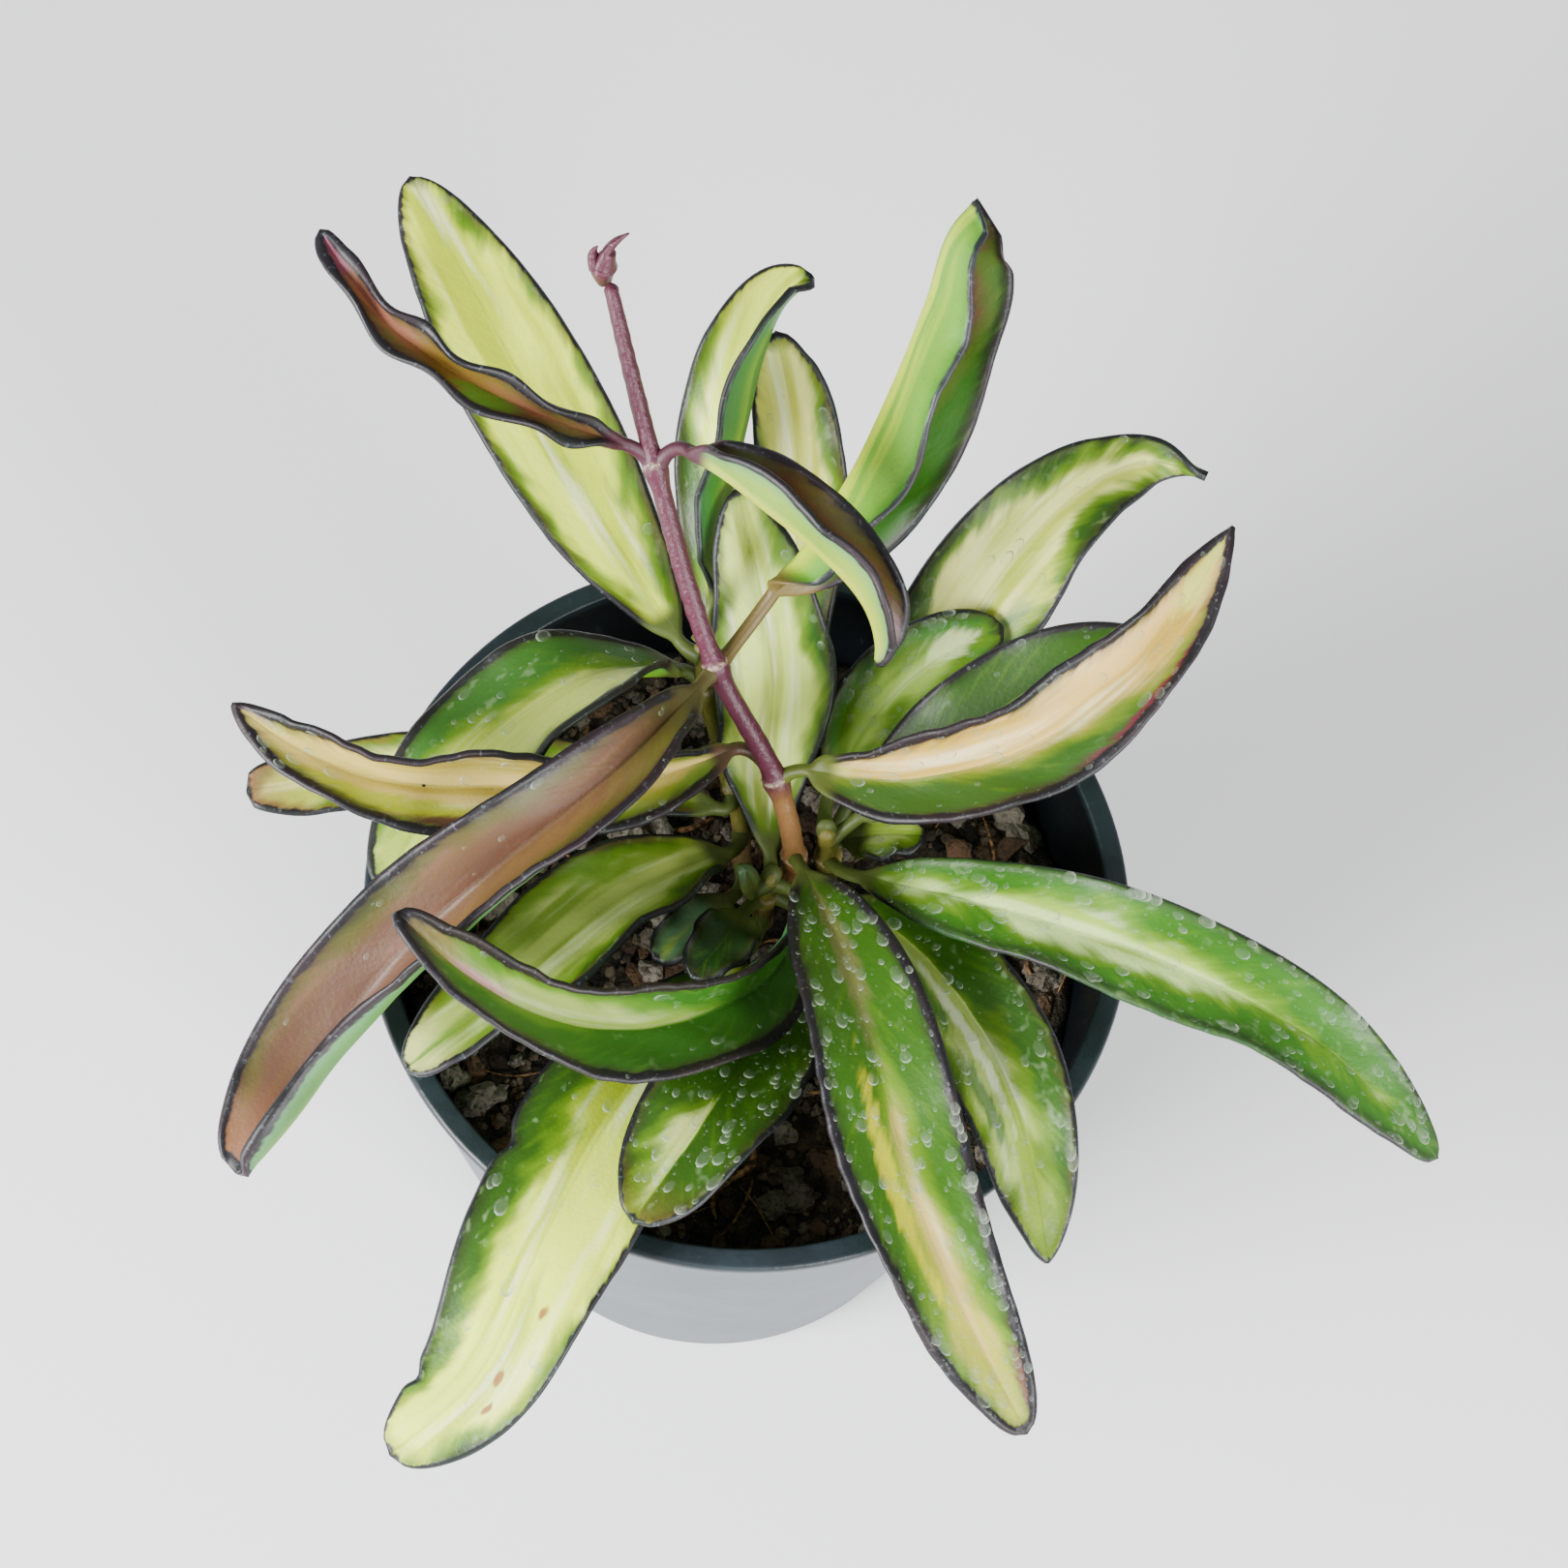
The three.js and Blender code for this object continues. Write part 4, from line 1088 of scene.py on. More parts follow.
            CREAM, centre="#a8c05c", pale="#dfe9be", flush="#86a414", halo="#5a8004", green="#2e5a0a",
            deep="#143a0c", left=(-0.3, -0.1, 0.1, 0.3, 0.6), right=(0.1, 0.55, 0.75, 0.75, 0.6),
            feather=1.3,
            frost=0.6, blush="#6b4f14", blushed=0.3, tip="#7fa016", tipped=0.7,
            patches=(
                Patch("#2c640e", 0.45, 0.36, 0.2, 0.14, 0.85), Patch("#356a14", 0.5, 0.66, 0.16, 0.12, 0.8),
                Patch("#e6f0cc", 0.2, 0.5, 0.1, 0.24, 0.7),
            ),
        ),
        peak=0.5, blunt=0.6, drops=90,
    ),
)


# Stems


@dataclass(frozen=True)
class StemSkin:
    """Smooth young bark: satin, with pale lenticels and a whitish scar at each node."""

    young: str
    old: str
    fleck: str

    def build(self, name: str) -> bpy.types.Material:
        """Builds the bark, which turns from its old colour to its young one up the stem.

        Args:
            name: the material's name.

        Returns:
            The material.
        """
        paint = Paint(name)
        parts = add(paint.tree, "SeparateXYZ", {0: paint.attribute("bark")}).outputs
        place = paint.object_mm()
        blotch = paint.noise(place, 0.5, 3.0)
        grain = paint.noise(paint.scaled(place, (1.0, 1.0, 0.35)), 2.6, 4.0)
        age = paint.math("ADD", parts[0], paint.math("MULTIPLY", paint.math("SUBTRACT", blotch, 0.5), 5.0))
        bark = paint.layer(self.old, self.young, paint.ramp(age, -1.5, 2.5))
        bark = paint.layer(bark, "#8c7a6a", paint.ramp(grain, 0.5, 0.8, 0.35), Blend.DARKEN)
        bark = paint.layer(bark, self.fleck, paint.ramp(grain, 0.62, 0.7, 0.5))
        scar = paint.math("MULTIPLY", parts[1], paint.ramp(grain, 0.35, 0.6))
        bark = paint.layer(bark, "#a3907c", scar)
        return paint.finish(bark, 0.42, grain, 0.12, IOR=1.45)


@dataclass(frozen=True)
class Stem:
    """One stem: a line through points, a radius at each, and swollen nodes where leaves sit.

    aged_below is the height under which the bark has its old colour.
    """

    name: str
    slot: str
    path: Points
    radius: Sequence[float]
    nodes: Sequence[float]
    skin: StemSkin
    aged_below: float = 0.0

    SIDES = 32
    STEP = 0.3
    SWELLING = 0.45
    REACH = 1.6

    def chords(self) -> Array:
        """Chord lengths summed from the foot to each point."""
        steps = np.linalg.norm(np.diff(np.asarray(self.path, float), axis=0), axis=1)
        return np.concatenate([[0.0], np.cumsum(steps)])

    def place_of(self, node: float) -> float:
        """Millimetres along the stem at a count of points, such as 2.5."""
        return float(np.interp(node, np.arange(len(self.path)), self.chords()))

    def point_of(self, node: float) -> Array:
        """The centre line's point at a place counted in the path's points.

        Args:
            node: the place, where 2.5 is halfway between the points numbered 2 and 3.

        Returns:
            The point, in millimetres.
        """
        marks = self.chords()
        count = 2001
        line, _ = smooth_line(self.path, count)
        return line[round(self.place_of(node) / marks[-1] * (count - 1))]

    def build(self) -> bpy.types.Object:
        """Builds the stem: a tube with a bell-shaped swelling and a fine scar ring at each node.

        Returns:
            The object.
        """
        marks = self.chords()
        count = int(marks[-1] / self.STEP)
        line, direction = smooth_line(self.path, count)
        place = np.linspace(0.0, marks[-1], count)
        radius = np.interp(place, marks, self.radius)
        scar = np.zeros(count)
        for node in self.nodes:
            away = place - self.place_of(node)
            radius = radius + self.SWELLING * np.exp(-((away / self.REACH) ** 2))
            ring = np.exp(-(((away - 0.9) / 0.28) ** 2))
            radius = radius + 0.12 * ring
            scar = np.maximum(scar, ring)
        radius = radius * np.sqrt(np.clip((marks[-1] - place) / 0.8, 0.02, 1))
        angle = np.linspace(0.0, 2.0 * np.pi, self.SIDES, endpoint=False)
        bumps = soft_noise(place[:, None] / 1.6, np.sin(angle)[None] * 1.2 + np.cos(angle)[None], 7)
        surface = tube(line, direction, radius[:, None] + 0.05 * bumps, self.SIDES)
        points, faces = capped_tube(surface)
        young = np.repeat(line[:, 2] - self.aged_below, self.SIDES)
        scars = np.repeat(scar, self.SIDES)
        bark = np.stack([young, scars, 0 * young], -1)
        bark = np.concatenate([bark, bark[:1], bark[-1:]])
        points, faces, bark = self.with_tip(points, faces, bark)
        skin = self.skin.build(self.name)
        piece = make_piece(self.name + "_bark", points, faces, self.slot, skin, {"bark": bark})
        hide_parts(self.name)
        return piece

    def with_tip(self, points: Array, faces: list, bark: Array) -> tuple[Array, list, Array]:
        """Adds nothing to a plain stem."""
        return points, faces, bark


@dataclass(frozen=True)
class GrowingStem(Stem):
    """A stem that ends in a growing tip: a small collar and unopened leaves."""

    sprouts: Sequence[tuple[Points, Sequence[float], float]] = ()

    def with_tip(self, points: Array, faces: list, bark: Array) -> tuple[Array, list, Array]:
        """Adds the unopened leaves, each a flattened pointed tube.

        Args:
            points: the stem's points.
            faces: its faces.
            bark: its bark values.

        Returns:
            All three with the sprouts added.
        """
        for path, widths, flat in self.sprouts:
            line, direction = smooth_line(path, 40)
            radius = np.interp(np.linspace(0, len(widths) - 1, 40), np.arange(len(widths)), widths)
            angle = np.linspace(0.0, 2.0 * np.pi, 20, endpoint=False)
            oval = np.hypot(np.cos(angle), flat * np.sin(angle))
            extra, more = capped_tube(tube(line, direction, radius[:, None] * oval[None], 20))
            faces = faces + [[k + len(points) for k in face] for face in more]
            points = np.concatenate([points, extra])
            bark = np.concatenate([bark, np.tile([[60.0, 0.0, 0.0]], (len(extra), 1))])
        return points, faces, bark


BURGUNDY = StemSkin(young="#491a2c", old="#7c5832", fleck="#84545f")
TAN_BARK = StemSkin(young="#6f6a2c", old="#5c4a2a", fleck="#9a8a5a")

STEMS = (
    GrowingStem(
        "stem_main", "stem_burgundy",
        [
            [3.5, 11, STEM_FOOT], [4, 10.5, 72], [5, 9.5, 85], [1, 14, 98], [-9, 21.5, 113],
            [-20.5, 37.5, 133], [-29.5, 52.5, 150],
        ],
        (1.4, 1.4, 1.4, 1.4, 1.3, 1.2, 0.9), (2, 3, 4, 5), BURGUNDY, aged_below=97.0,
        sprouts=(
            ([[-30.3, 53.8, 148], [-30.6, 54.3, 150.5], [-30, 55, 153]], (1.0, 1.9, 0.9), 0.9),
            ([[-31, 53.5, 151], [-30, 55.5, 153.5], [-28, 56.5, 155.5]], (1.1, 1.1, 0.7, 0.15), 0.6),
            ([[-31.5, 53.5, 151], [-32, 54.5, 153], [-31.5, 54.5, 154.5]], (0.9, 0.8, 0.15), 0.7),
        ),
    ),
    Stem(
        "stem_back", "stem_tan",
        [
            [0, 7, STEM_FOOT], [-1, 9.5, 72], [-3.5, 15.5, 83.5], [-7, 21, 89.5], [-10.5, 25.5, 98],
            [-12, 29, 104],
        ],
        (1.2, 1.2, 1.2, 1.1, 1.0, 0.9), (2.3, 2.8, 3.9), TAN_BARK, aged_below=80.0,
    ),
    Stem(
        "stem_front", "stem_tan",
        [[3, 3, STEM_FOOT], [2.5, 4, 72], [2, 5.5, 80], [2.5, 6, 86]],
        (1.5, 1.5, 1.5, 1.2), (2,), TAN_BARK, aged_below=78.0,
    ),
    Stem(
        "stem_side", "stem_tan",
        [[10.5, 11, STEM_FOOT], [10, 11.5, 72], [9.5, 12, 81], [8.5, 12.5, 89]],
        (1.5, 1.5, 1.5, 1.2), (2,), TAN_BARK, aged_below=78.0,
    ),
)


# Water that stands on the leaves


@dataclass
class WaterDrops:
    """Flat drops of water on the upper faces, each a shallow dome of a few dozen faces."""

    seed: int = 11
    sides: int = 10
    rings: int = 4
    density: int = 2

    def dome(self) -> tuple[Array, list[list[int]]]:
        """A shallow dome of radius 1: height falls as the root of 1 - r squared, with a flat underside.

        Returns:
            Its points and faces.
        """
        lift = np.linspace(0.0, np.pi / 2, self.rings, endpoint=False)
        angle = np.linspace(0.0, 2.0 * np.pi, self.sides, endpoint=False)
        rings = np.stack(
            [
                np.cos(lift)[:, None] * np.cos(angle)[None],
                np.cos(lift)[:, None] * np.sin(angle)[None],
                np.sin(lift)[:, None] + 0 * angle[None],
            ],
            -1,
        )
        return capped_tube(rings)

    def finish(self) -> bpy.types.Material:
        """Hard-water drop: clear in the middle, and whitish at its rim from chalk and a painted highlight,
        strongest on one side.

        Returns:
            The material.
        """
        paint = Paint("hard_water_drop")
        rim = paint.attribute("rim", "Fac")
        # Chalk and painted highlight: opacity rises towards the rim, most on one side.
        chalk_and_highlight = paint.math("ADD", 0.08, paint.ramp(rim, 0.35, 1.0, 0.42))
        return paint.finish(linear("#b4c4ae"), 0.1, IOR=1.33, Alpha=chalk_and_highlight)

    def build(self, grids: dict[str, dict[str, Array]]) -> bpy.types.Object:
        """Sets drops down on each wet leaf by a seeded draw, small ones more often than large.

        Args:
            grids: the leaves' grids by name.

        Returns:
            The drops as one object.
        """
        random = np.random.default_rng(self.seed)
        dome, dome_faces = self.dome()
        places, axes, sizes = [], [], []
        for leaf in LEAVES:
            if not leaf.drops:
                continue
            points = grids[leaf.name]["points"]
            rows, top = len(points), leaf.STRIPS
            start = leaf.STALK_ROWS + 10
            count = self.density * leaf.drops
            i = random.integers(start, rows - 6, count)
            j = random.integers(2, top - 2, count)
            ahead = unit(points[i + 2, j] - points[i - 2, j])
            over = points[i, j + 1] - points[i, j - 1]
            normal = unit(np.cross(over, ahead))
            places.append(points[i, j])
            axes.append(np.stack([ahead, np.cross(normal, ahead), normal], 1))
            size = 0.15 + 0.75 * random.random(count) ** 4
            long = size * random.uniform(1.0, 1.9, count)
            sizes.append(np.stack([long, size, 0.3 * size], -1))
        places, axes, sizes = (np.concatenate(part) for part in (places, axes, sizes))
        local = dome[None] * sizes[:, None]
        points = places[:, None] + np.einsum("nkc,ncd->nkd", local, axes) - 0.02 * axes[:, None, 2]
        offsets = np.arange(len(places)) * len(dome)
        faces = [[k + offset for k in face] for offset in offsets.tolist() for face in dome_faces]
        reach = np.hypot(dome[:, 0], dome[:, 1])
        # The rim value is chalk and painted highlight: it grows towards the dome's edge and is largest on one
        # side, a crescent like light caught on a drop.
        rim = np.tile(reach**2 * (0.55 + 0.45 * dome[:, 0] / np.maximum(reach, 1e-6)), len(places))
        shells = points.reshape(-1, 3)
        return make_piece("water_drops", shells, faces, "leaf_green", self.finish(), {"rim": rim})


# Soil


@dataclass
class Soil:
    """Potting mix: a lumpy bed with pumice, bark crumbs and coir on top."""

    rings: int = 90
    spokes: int = 220
    lumps: Array = field(init=False)

    def __post_init__(self) -> None:
        """Draws the same lumps as the solid: place, size and rise by one small seeded generator."""
        state = 41
        draws = []
        for _ in range(4 * SOIL_LUMPS):
            state = (state * 1664525 + 1013904223) % 4294967296
            draws.append(state / 4294967296)
        angle, reach, size, rise = np.array(draws).reshape(-1, 4).T
        reach = self.radius_at(SOIL_LEVEL) * np.sqrt(reach)
        angle = 2 * np.pi * angle
        self.lumps = np.stack([reach * np.cos(angle), reach * np.sin(angle), 2.5 + 2.5 * size, rise], -1)

    def radius_at(self, z: float) -> float:
        """Radius of the soil at a height: the pot's inside less the gap."""
        slope = (RIM_RADIUS - LIP_OVERHANG - BASE_RADIUS) / (POT_HEIGHT - LIP_THICKNESS)
        return BASE_RADIUS + slope * z - WALL - GAP

    def height(self, x: Array, y: Array) -> Array:
        """Level plus bell-shaped lumps and fine crumbs.

        Args:
            x: across, in millimetres.
            y: away, in millimetres.

        Returns:
            Heights.
        """
        total = np.full(x.shape, SOIL_LEVEL)
        for cx, cy, size, rise in self.lumps:
            near = np.hypot(x - cx, y - cy) / size
            total = total + SOIL_RELIEF * (rise - 0.4) * np.exp(-near * near)
        total = total + 0.35 * soft_noise(x / 2.2, y / 2.2, 3) + 0.2 * soft_noise(x / 0.9, y / 0.9, 4)
        return total

    def finish(self) -> bpy.types.Material:
        """Damp peat and fine bark: nearly black, rough, with brown crumbs.

        Returns:
            The material.
        """
        paint = Paint("damp_potting_mix")
        place = paint.object_mm()
        coarse = paint.noise(place, 0.35, 5.0)
        fine = paint.noise(place, 1.8, 5.0)
        mix = paint.layer("#1b1812", "#463b2b", paint.ramp(coarse, 0.42, 0.66))
        mix = paint.layer(mix, "#74614a", paint.ramp(fine, 0.58, 0.74, 0.6))
        return paint.finish(mix, 0.9, fine, 0.8)

    def build(self) -> bpy.types.Object:
        """Builds the bed: a polar grid for the top, then the side down to the pot's floor.

        Returns:
            The object.
        """
        share = np.linspace(0.004, 1.0, self.rings)
        radius = share * self.radius_at(SOIL_LEVEL - 1)
        angle = np.linspace(0.0, 2.0 * np.pi, self.spokes, endpoint=False)
        x = radius[:, None] * np.cos(angle)[None]
        y = radius[:, None] * np.sin(angle)[None]
        z = self.height(x, y) - 0.9 * smoothstep(share, 0.97, 1.0)[:, None]
        floor = FLOOR + GAP
        side_z = np.linspace(SOIL_LEVEL - 3, floor, 12)
        side_r = np.array([self.radius_at(level) for level in side_z])
        side_x = side_r[:, None] * np.cos(angle)
        side_y = side_r[:, None] * np.sin(angle)
        side = np.stack([side_x, side_y, side_z[:, None] + 0 * angle], -1)
        rings = np.concatenate([np.stack([x, y, z], -1), side])
        points, faces = capped_tube(rings)
        piece = make_piece("soil_bed", points, faces, "potting_mix", self.finish())
        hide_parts("soil")
        return piece


# How far from the pot's axis crumbs are drawn, and how far they stay from a stem's foot, in millimetres.
CRUMB_REACH = 43.5
STEM_CLEARANCE = 3.0


@dataclass(frozen=True)
class Crumb:
    """A kind of loose piece on the soil: how many, how large, how long and flat, and its colours."""

    name: str
    count: int
    small: float
    large: float
    long: float
    flat: float
    dark: str
    pale: str
    rough: float
    facets: int = 2

    def finish(self) -> bpy.types.Material:
        """Porous stone or bark: matt, each piece a tone of its own, with pits.

        Returns:
            The material.
        """
        paint = Paint(self.name)
        place = paint.object_mm()
        tone = paint.attribute("tone", "Fac")
        pits = paint.noise(place, 1.5, 5.0)
        stone = paint.layer(self.dark, self.pale, tone)
        stone = paint.layer(stone, "#57493c", paint.ramp(pits, 0.5, 0.3, 0.7), Blend.DARKEN)
        stone = paint.layer(stone, "#a39580", paint.ramp(pits, 0.62, 0.8, 0.3))
        return paint.finish(stone, self.rough, pits, 0.5)

    def build(self, soil: Soil, seed: int) -> bpy.types.Object:
        """Scatters the pieces over the soil by a seeded draw, each a dented ball half sunk in.

        Args:
            soil: the bed that they lie on.
            seed: picks the places.

        Returns:
            All pieces of the kind as one object.
        """
        random = np.random.default_rng(seed)
        ball = bmesh.new()
        bmesh.ops.create_icosphere(ball, subdivisions=self.facets, radius=1.0)
        ball.verts.ensure_lookup_table()
        base = np.array([vert.co for vert in ball.verts])
        cells = [[vert.index for vert in face.verts] for face in ball.faces]
        ball.free()
        reach = CRUMB_REACH * np.sqrt(random.random(self.count))
        angle = random.uniform(0, 2 * np.pi, self.count)
        x, y = reach * np.cos(angle), reach * np.sin(angle)
        feet = np.array([stem.path[1][:2] for stem in STEMS])
        clear = np.hypot(x[:, None] - feet[:, 0], y[:, None] - feet[:, 1]).min(1) > STEM_CLEARANCE
        x, y = x[clear], y[clear]
        count = len(x)
        size = self.small + (self.large - self.small) * random.random(count) ** 2
        reach = np.hypot(x, y)
        inside = np.minimum(1.0, (soil.radius_at(SOIL_LEVEL) - 0.4 - size * self.long) / reach)
        x, y = x * inside, y * inside
        stretch = random.uniform(0.75, 1.2, (count, 3))
        shape = np.stack([size * self.long, size, size * self.flat], -1) * stretch
        along = base[None, :, 0] * 1.3 + 9 * random.random((count, 1))
        dents = 1.0 + 0.3 * soft_noise(along, base[None, :, 1] + base[None, :, 2], seed)
        jitter = 1.0 + 0.07 * random.standard_normal((count, len(base)))
        local = base[None] * (dents * jitter)[..., None] * shape[:, None]
        spin = random.uniform(0, 2 * np.pi, count)
        tilt = random.normal(0, 0.35, (count, 2))
        turn = np.zeros((count, 3, 3))
        cos_s, sin_s = np.cos(spin), np.sin(spin)
        turn[:, 0] = np.stack([cos_s, sin_s, tilt[:, 0]], -1)
        turn[:, 1] = np.stack([-sin_s, cos_s, tilt[:, 1]], -1)
        turn[:, 2] = np.cross(unit(turn[:, 0]), unit(turn[:, 1]))
        turn = unit(turn)
        z = soil.height(x, y) + 0.35 * shape[:, 2]
        points = np.einsum("nkc,ncd->nkd", local, turn) + np.stack([x, y, z], -1)[:, None]
        offsets = (np.arange(count) * len(base)).tolist()
        faces = [[k + offset for k in cell] for offset in offsets for cell in cells]
        tone = np.repeat(random.random(count), len(base))
        lumps = points.reshape(-1, 3)
        return make_piece(self.name, lumps, faces, "potting_mix", self.finish(), {"tone": tone}, False)


CRUMBS = (
    Crumb("pumice_lumps", 170, 1.0, 2.7, 1.15, 0.8, "#4b4538", "#958c7e", 0.95, 3),
    Crumb("bark_chips", 420, 0.7, 2.1, 1.9, 0.4, "#2a2117", "#6e5238", 0.85),
    Crumb("fine_crumbs", 1900, 0.3, 0.85, 1.2, 0.8, "#282319", "#71634f", 0.95),
)


@dataclass
class CoirFibres:
    """Coir fibres and fine twigs: thin bent tubes lying on the soil, and one curled strand."""

    count: int = 95
    curl: Points = (
        (2.5, -30.5, 77.5), (5.5, -28.8, 78.5), (6.6, -31.5, 79), (4, -34, 78.6), (2.2, -36.5, 77.6),
        (3.2, -39, 76.2),
    )
    wall_root: Points = (
        (44.6, 12.5, 88.0), (45.2, 9.5, 84.5), (44.4, 6.0, 80.5), (43.6, 3.0, 76.0), (43.0, 1.0, 74.5),
    )

    def finish(self) -> bpy.types.Material:
        """Dry husk fibre: matt and straw-brown.

        Returns:
            The material.
        """
        paint = Paint("coir_fibre")
        grain = paint.noise(paint.object_mm(), 1.2, 3.0)
        husk = paint.layer("#3d2918", "#a67a48", paint.ramp(grain, 0.35, 0.7))
        return paint.finish(husk, 0.8, grain, 0.2)

    def build(self, soil: Soil) -> bpy.types.Object:
        """Lays seeded arcs on the soil and adds the curled strand and the root on the pot's wall.

        Args:
            soil: the bed that they lie on.

        Returns:
            All fibres as one object.
        """
        random = np.random.default_rng(23)
        strands = [(self.curl, 0.55), (self.wall_root, 0.3)]
        for _ in range(self.count):
            reach = 40 * np.sqrt(random.random())
            angle, heading = random.uniform(0, 2 * np.pi, 2)
            length, sag = random.uniform(4, 11), random.normal(0, 1.4)
            steps = np.linspace(-0.5, 0.5, 5)
            bow = sag * (4 * steps**2)
            x = reach * np.cos(angle) + length * steps * np.cos(heading) - bow * np.sin(heading)
            y = reach * np.sin(angle) + length * steps * np.sin(heading) + bow * np.cos(heading)
            inside = np.minimum(1.0, 44.0 / np.maximum(np.hypot(x, y), 1e-6))
            x, y = x * inside, y * inside
            z = soil.height(x, y) + random.uniform(0.3, 1.4) - 1.2 * (4 * steps**2) * random.random()
            strands.append((np.stack([x, y, z], -1), random.uniform(0.12, 0.42)))
        points, faces = np.zeros((0, 3)), []
        for path, radius in strands:
            line, direction = smooth_line(path, 18)
            taper = radius * (1.0 - 0.7 * np.abs(np.linspace(-1, 1, 18)) ** 3)
            extra, more = capped_tube(tube(line, direction, taper, 6))
            faces = faces + [[k + len(points) for k in face] for face in more]
            points = np.concatenate([points, extra])
        return make_piece("coir_fibres", points, faces, "potting_mix", self.finish())


# Pot


@dataclass
class Pot:
    """Blow-moulded nursery pot: a tapered wall under a thin flat lip, and a floor with drain holes."""

    segments: int = 224
    drain_radius: float = 4.0
    drain_circle: float = 22.0
    drains: int = 6
    wall_slope: float = 0.1648
    film_from: float = 33.6
    film_full: float = 34.1

    def inside_radius(self, z: float) -> float:
        """Radius of the wall's inner face at a height."""
        slope = (RIM_RADIUS - LIP_OVERHANG - BASE_RADIUS) / (POT_HEIGHT - LIP_THICKNESS)
        return BASE_RADIUS + slope * z - WALL

    def profile(self) -> Array:
        """The half section from the centre of the underside round to the centre of the floor inside.

        Returns:
            Radius and height of each point, with small rounds at the corners.
        """
        under = POT_HEIGHT - LIP_THICKNESS
        top = RIM_RADIUS - LIP_OVERHANG
        slope = (top - BASE_RADIUS) / under
        corner = np.linspace(0.0, np.pi / 2, 6)
        foot = np.stack([BASE_RADIUS - 1 + np.sin(corner), 1 - np.cos(corner)], -1)
        wall_z = np.linspace(1.0, under - 1.0, 60)
        wall = np.stack([np.linspace(BASE_RADIUS + slope, top - 0.02, 60), wall_z], -1)
        round_out = 0.7
        low_z = under + round_out - round_out * np.cos(corner)
        lip_low = np.stack([RIM_RADIUS - round_out + round_out * np.sin(corner), low_z], -1)
        high_z = POT_HEIGHT - round_out + round_out * np.sin(corner)
        lip_high = np.stack([RIM_RADIUS - round_out + round_out * np.cos(corner), high_z], -1)
        edge = RIM_RADIUS - LIP_WIDTH
        lip_in = np.stack([edge + 0.5 - 0.5 * np.sin(corner), POT_HEIGHT - 0.5 + 0.5 * np.cos(corner)], -1)
        inside_z = np.linspace(under - 2, FLOOR + 1, 40)
        inside = np.stack([[self.inside_radius(z) for z in inside_z], inside_z], -1)
        flat = [(r, 0.0) for r in np.linspace(0.3, BASE_RADIUS - 1.5, 12)]
        well = [(r, FLOOR) for r in np.linspace(self.inside_radius(FLOOR) - 1, 0.3, 12)]
        return np.concatenate([flat, foot, wall, lip_low, lip_high, lip_in, inside, well])

    def finish(self) -> bpy.types.Material:
        """Recycled polypropylene: blue-black and satin, with a pale mineral film over the outer wall, and
        painted shade darkening the inner wall, floor and underside nearly to black.

        Returns:
            The material.
        """
        paint = Paint("nursery_polypropylene")
        place = paint.object_mm()
        parts = add(paint.tree, "SeparateXYZ", {0: place}).outputs
        level = paint.scaled(place, (1, 1, 0))
        across = add(paint.tree, "VectorMath", {0: level}, operation="LENGTH").outputs["Value"]
        wall_line = paint.math("SUBTRACT", across, paint.math("MULTIPLY", parts[2], self.wall_slope))
        outside = paint.ramp(wall_line, self.film_from, self.film_full)
        below_lip = paint.ramp(parts[2], POT_HEIGHT - 1.6, POT_HEIGHT - 2.6)
        cloud = paint.noise(place, 0.1, 4.0)
        scuff = paint.noise(paint.scaled(place, (1.0, 1.0, 0.3)), 0.9, 4.0)
        body = paint.layer("#141e23", "#1d282e", paint.ramp(cloud, 0.4, 0.65))
        film = paint.layer("#2b3842", "#34434e", paint.ramp(cloud, 0.35, 0.65))
        film = paint.layer(film, "#1d2830", paint.ramp(scuff, 0.6, 0.72, 0.45))
        film_amount = paint.math("MULTIPLY", outside, below_lip)
        skin = paint.layer(body, film, film_amount)
        # Painted shade: below the lip, all but the outer wall, that is the inner wall, the inside floor and
        # the underside, is darkened nearly to black.
        inside = paint.math("MULTIPLY", paint.math("SUBTRACT", 1.0, outside), below_lip)
        skin = paint.layer(skin, "#05090c", paint.math("MULTIPLY", inside, 0.85))
        skin = paint.layer(skin, "#44525c", paint.ramp(scuff, 0.66, 0.78, 0.35))
        return paint.finish(skin, 0.4, scuff, 0.08, IOR=1.49)

    def build(self) -> bpy.types.Object:
        """Turns the half section round, cuts the drain holes and dresses the pot.

        Returns:
            The object.
        """
        profile = self.profile()
        angle = np.linspace(0.0, 2.0 * np.pi, self.segments, endpoint=False)
        radius, height = profile[:, 0][:, None], profile[:, 1][:, None]
        near_lip = smoothstep(height, 70.0, POT_HEIGHT)
        radius = radius + near_lip * 0.18 * np.sin(3 * angle[None] + 0.7)
        height = height + near_lip * 0.15 * np.sin(2 * angle[None] + 1.9)
        rings = np.stack([radius * np.cos(angle), radius * np.sin(angle), height], -1)
        points, faces = capped_tube(rings)
        pot = make_piece("pot_shell", points, faces, "pot_plastic", self.finish())
        cutters = [self.drill(2 * np.pi * k / self.drains) for k in range(self.drains)]
        for cutter in cutters:
            cut = pot.modifiers.new("drain", "BOOLEAN")
            cut.operation = "DIFFERENCE"
            cut.solver = "EXACT"
            cut.object = cutter
        bpy.context.view_layer.update()
        done = bpy.data.meshes.new_from_object(pot.evaluated_get(bpy.context.evaluated_depsgraph_get()))
        pot.modifiers.clear()
        pot.data = done
        for cutter in cutters:
            bpy.data.objects.remove(cutter)
        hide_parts("pot")
        return pot

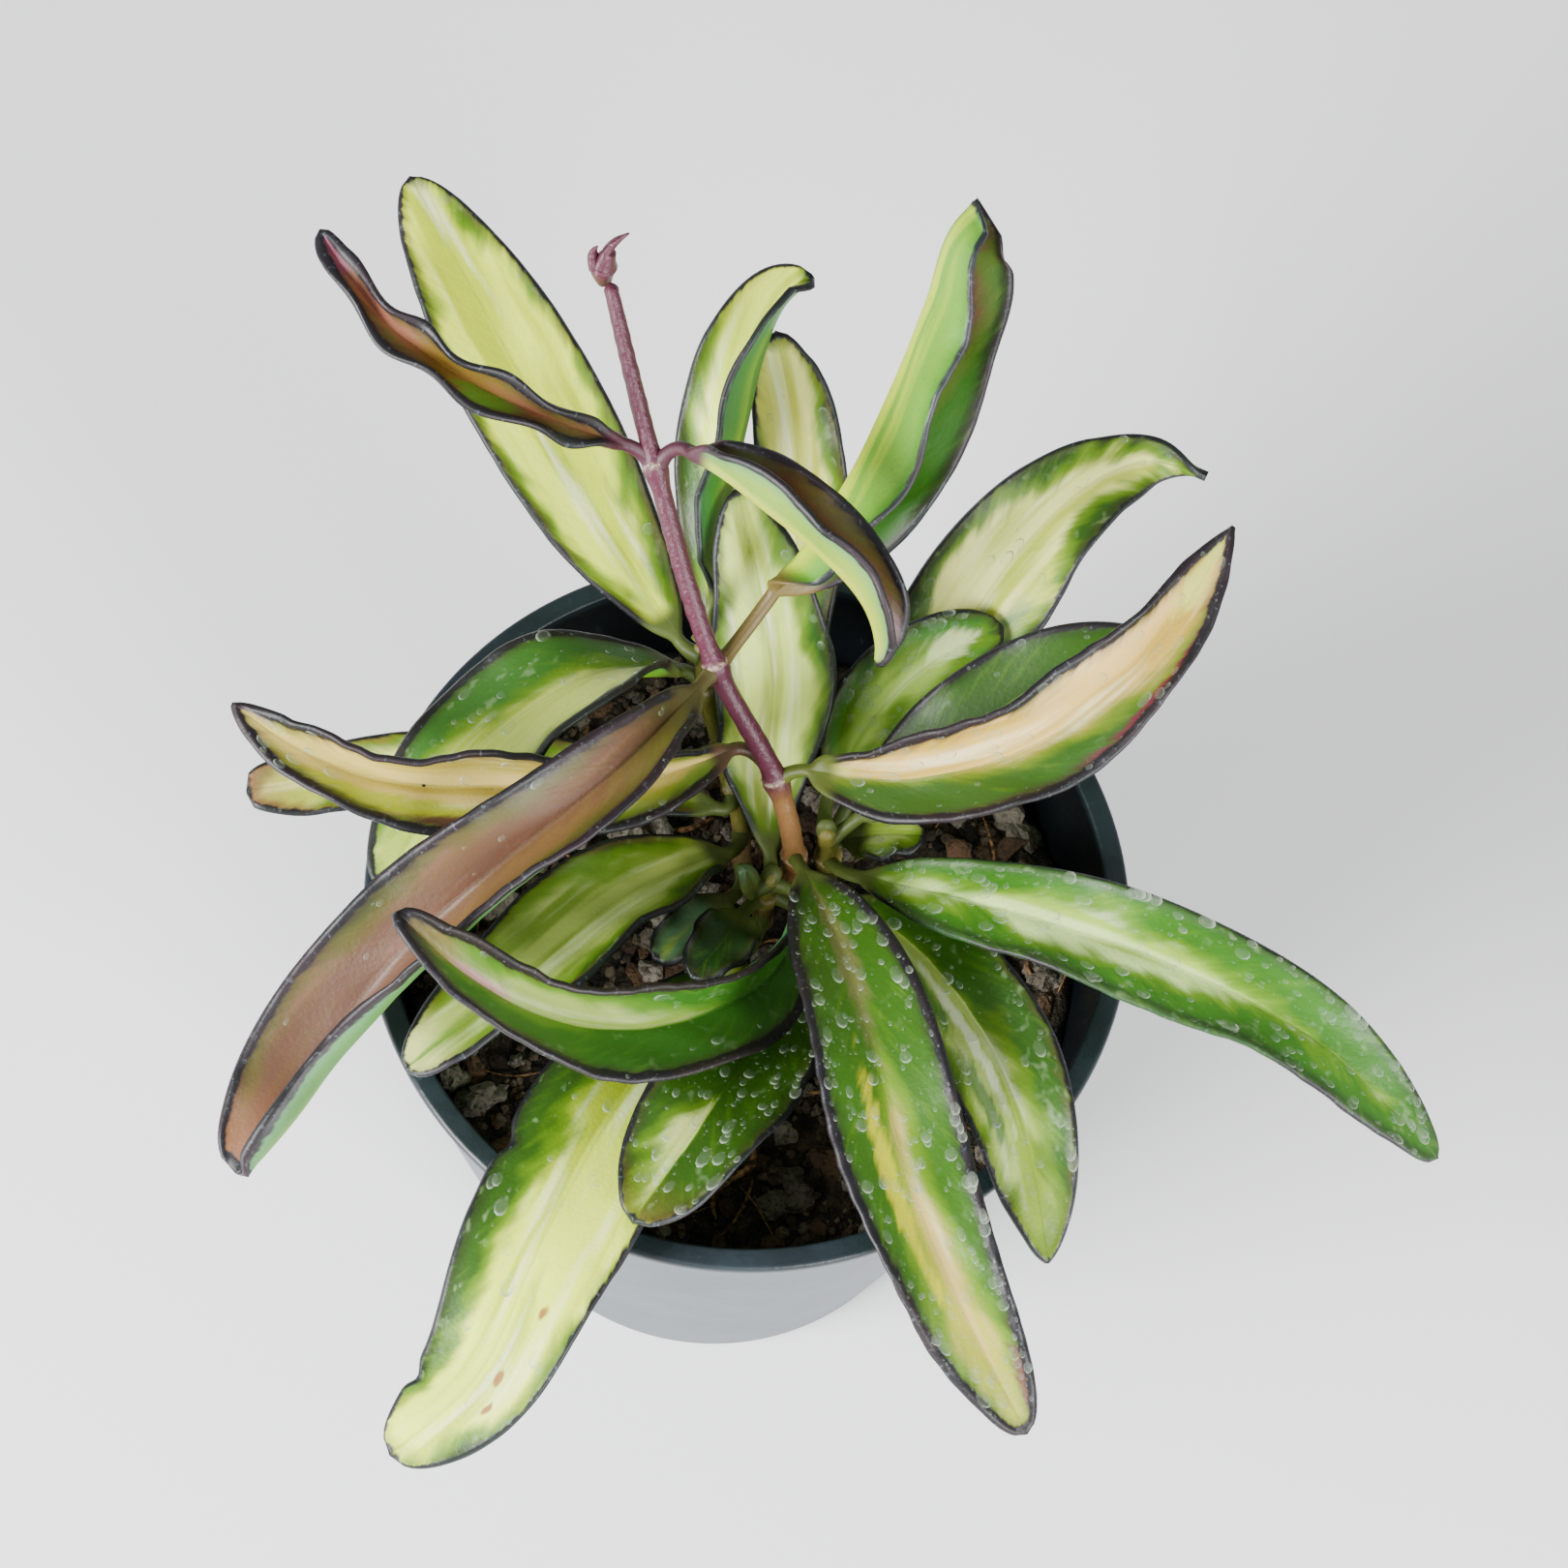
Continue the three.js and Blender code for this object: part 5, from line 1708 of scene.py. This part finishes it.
    def drill(self, angle: float) -> bpy.types.Object:
        """A cylinder that stands through the floor at one drain hole.

        Args:
            angle: where on the drain circle.

        Returns:
            The cutter.
        """
        count = 40
        centre = self.drain_circle * np.array([np.cos(angle), np.sin(angle)])
        path = np.array([[*centre, -2.0], [*centre, FLOOR + 2.0]])
        upright = np.tile([[0.0, 0.0, 1.0]], (2, 1))
        points, faces = capped_tube(tube(path, upright, np.full(2, self.drain_radius), count))
        if volume_of(points, faces) < 0:
            faces = [face[::-1] for face in faces]
        mesh = bpy.data.meshes.new("drill")
        mesh.from_pydata((points * MM).tolist(), [], faces)
        cutter = bpy.data.objects.new("drill", mesh)
        bpy.context.scene.collection.objects.link(cutter)
        return cutter


# Floor, light and camera


@dataclass
class Studio:
    """Pale floor, soft light and the camera at the photograph's angle."""

    aim: tuple[float, float, float] = (2.0, 17.0, 91.0)
    distance: float = 511.0
    elevation: float = 66.0
    roll: float = 10.0
    lens: float = 88.9
    sensor: float = 36.0

    def camera(self) -> None:
        """Sets the camera: back along the sight line from its aim, then turned about that line."""
        tilt, roll = np.radians(self.elevation), np.radians(self.roll)
        back = np.array([0.0, -np.cos(tilt), np.sin(tilt)])
        right = np.array([1.0, 0.0, 0.0])
        up = np.cross(back, right)
        side = right * np.cos(roll) + up * np.sin(roll)
        top = -right * np.sin(roll) + up * np.cos(roll)
        place = (np.array(self.aim) + back * self.distance) * MM
        data = bpy.data.cameras.new("camera")
        data.lens, data.sensor_width = self.lens, self.sensor
        data.clip_start = 0.01
        camera = bpy.data.objects.new("camera", data)
        camera.matrix_world = Matrix(
            [[side[i], top[i], back[i], place[i]] for i in range(3)] + [[0.0, 0.0, 0.0, 1.0]]
        )
        bpy.context.scene.collection.objects.link(camera)
        bpy.context.scene.camera = camera

    def light(self, name: str, place: tuple[float, float, float], size: float, power: float) -> None:
        """A soft square lamp that faces the plant.

        Args:
            name: its name.
            place: position in metres.
            size: side in metres.
            power: watts.
        """
        data = bpy.data.lights.new(name, "AREA")
        data.size, data.energy = size, power
        lamp = bpy.data.objects.new(name, data)
        back = unit(np.array(place) - np.array(self.aim) * MM)
        side = unit(np.cross([0.0, 1.0, 0.05], back))
        top = np.cross(back, side)
        lamp.matrix_world = Matrix(
            [[side[i], top[i], back[i], place[i]] for i in range(3)] + [[0.0, 0.0, 0.0, 1.0]]
        )
        bpy.context.scene.collection.objects.link(lamp)

    def floor(self) -> None:
        """A plain pale floor under the pot."""
        mesh = bpy.data.meshes.new("floor")
        reach = 3.0
        corners = [(-reach, -reach, 0), (reach, -reach, 0), (reach, reach, 0), (-reach, reach, 0)]
        mesh.from_pydata(corners, [], [(0, 1, 2, 3)])
        floor = bpy.data.objects.new("floor", mesh)
        bpy.context.scene.collection.objects.link(floor)
        mesh.materials.append(Paint("pale_floor").finish(linear("#f4f4f4"), 0.9))
        floor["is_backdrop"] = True

    def build(self) -> None:
        """Builds the whole studio."""
        self.camera()
        self.floor()
        self.light("key", (-0.65, -0.55, 0.5), 0.5, 31.0)
        self.light("fill", (0.6, -0.6, 0.45), 0.5, 16.0)
        world = bpy.data.worlds.new("soft_room")
        world.use_nodes = True
        world.node_tree.nodes["Background"].inputs["Color"].default_value = linear("#f6f8fb")
        world.node_tree.nodes["Background"].inputs["Strength"].default_value = 0.5
        bpy.context.scene.world = world


def main() -> None:
    """Builds the pot, soil, stems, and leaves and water."""
    logging.basicConfig(level=logging.INFO, format="%(name)s %(message)s")
    cad_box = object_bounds()
    Studio().build()
    Pot().build()
    soil = Soil()
    soil.build()
    for number, crumb in enumerate(CRUMBS):
        crumb.build(soil, 31 + number)
    CoirFibres().build(soil)
    stems = {stem.name: stem for stem in STEMS}
    for stem in STEMS:
        stem.build()
    grids = {}
    for leaf in LEAVES:
        _, grids[leaf.name] = leaf.build(stems[leaf.stem].point_of(leaf.node))
    WaterDrops().build(grids)
    visual_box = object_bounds()
    [[list(corner) for corner in box] for box in (cad_box, visual_box)]


if __name__ == "__main__":
    main()
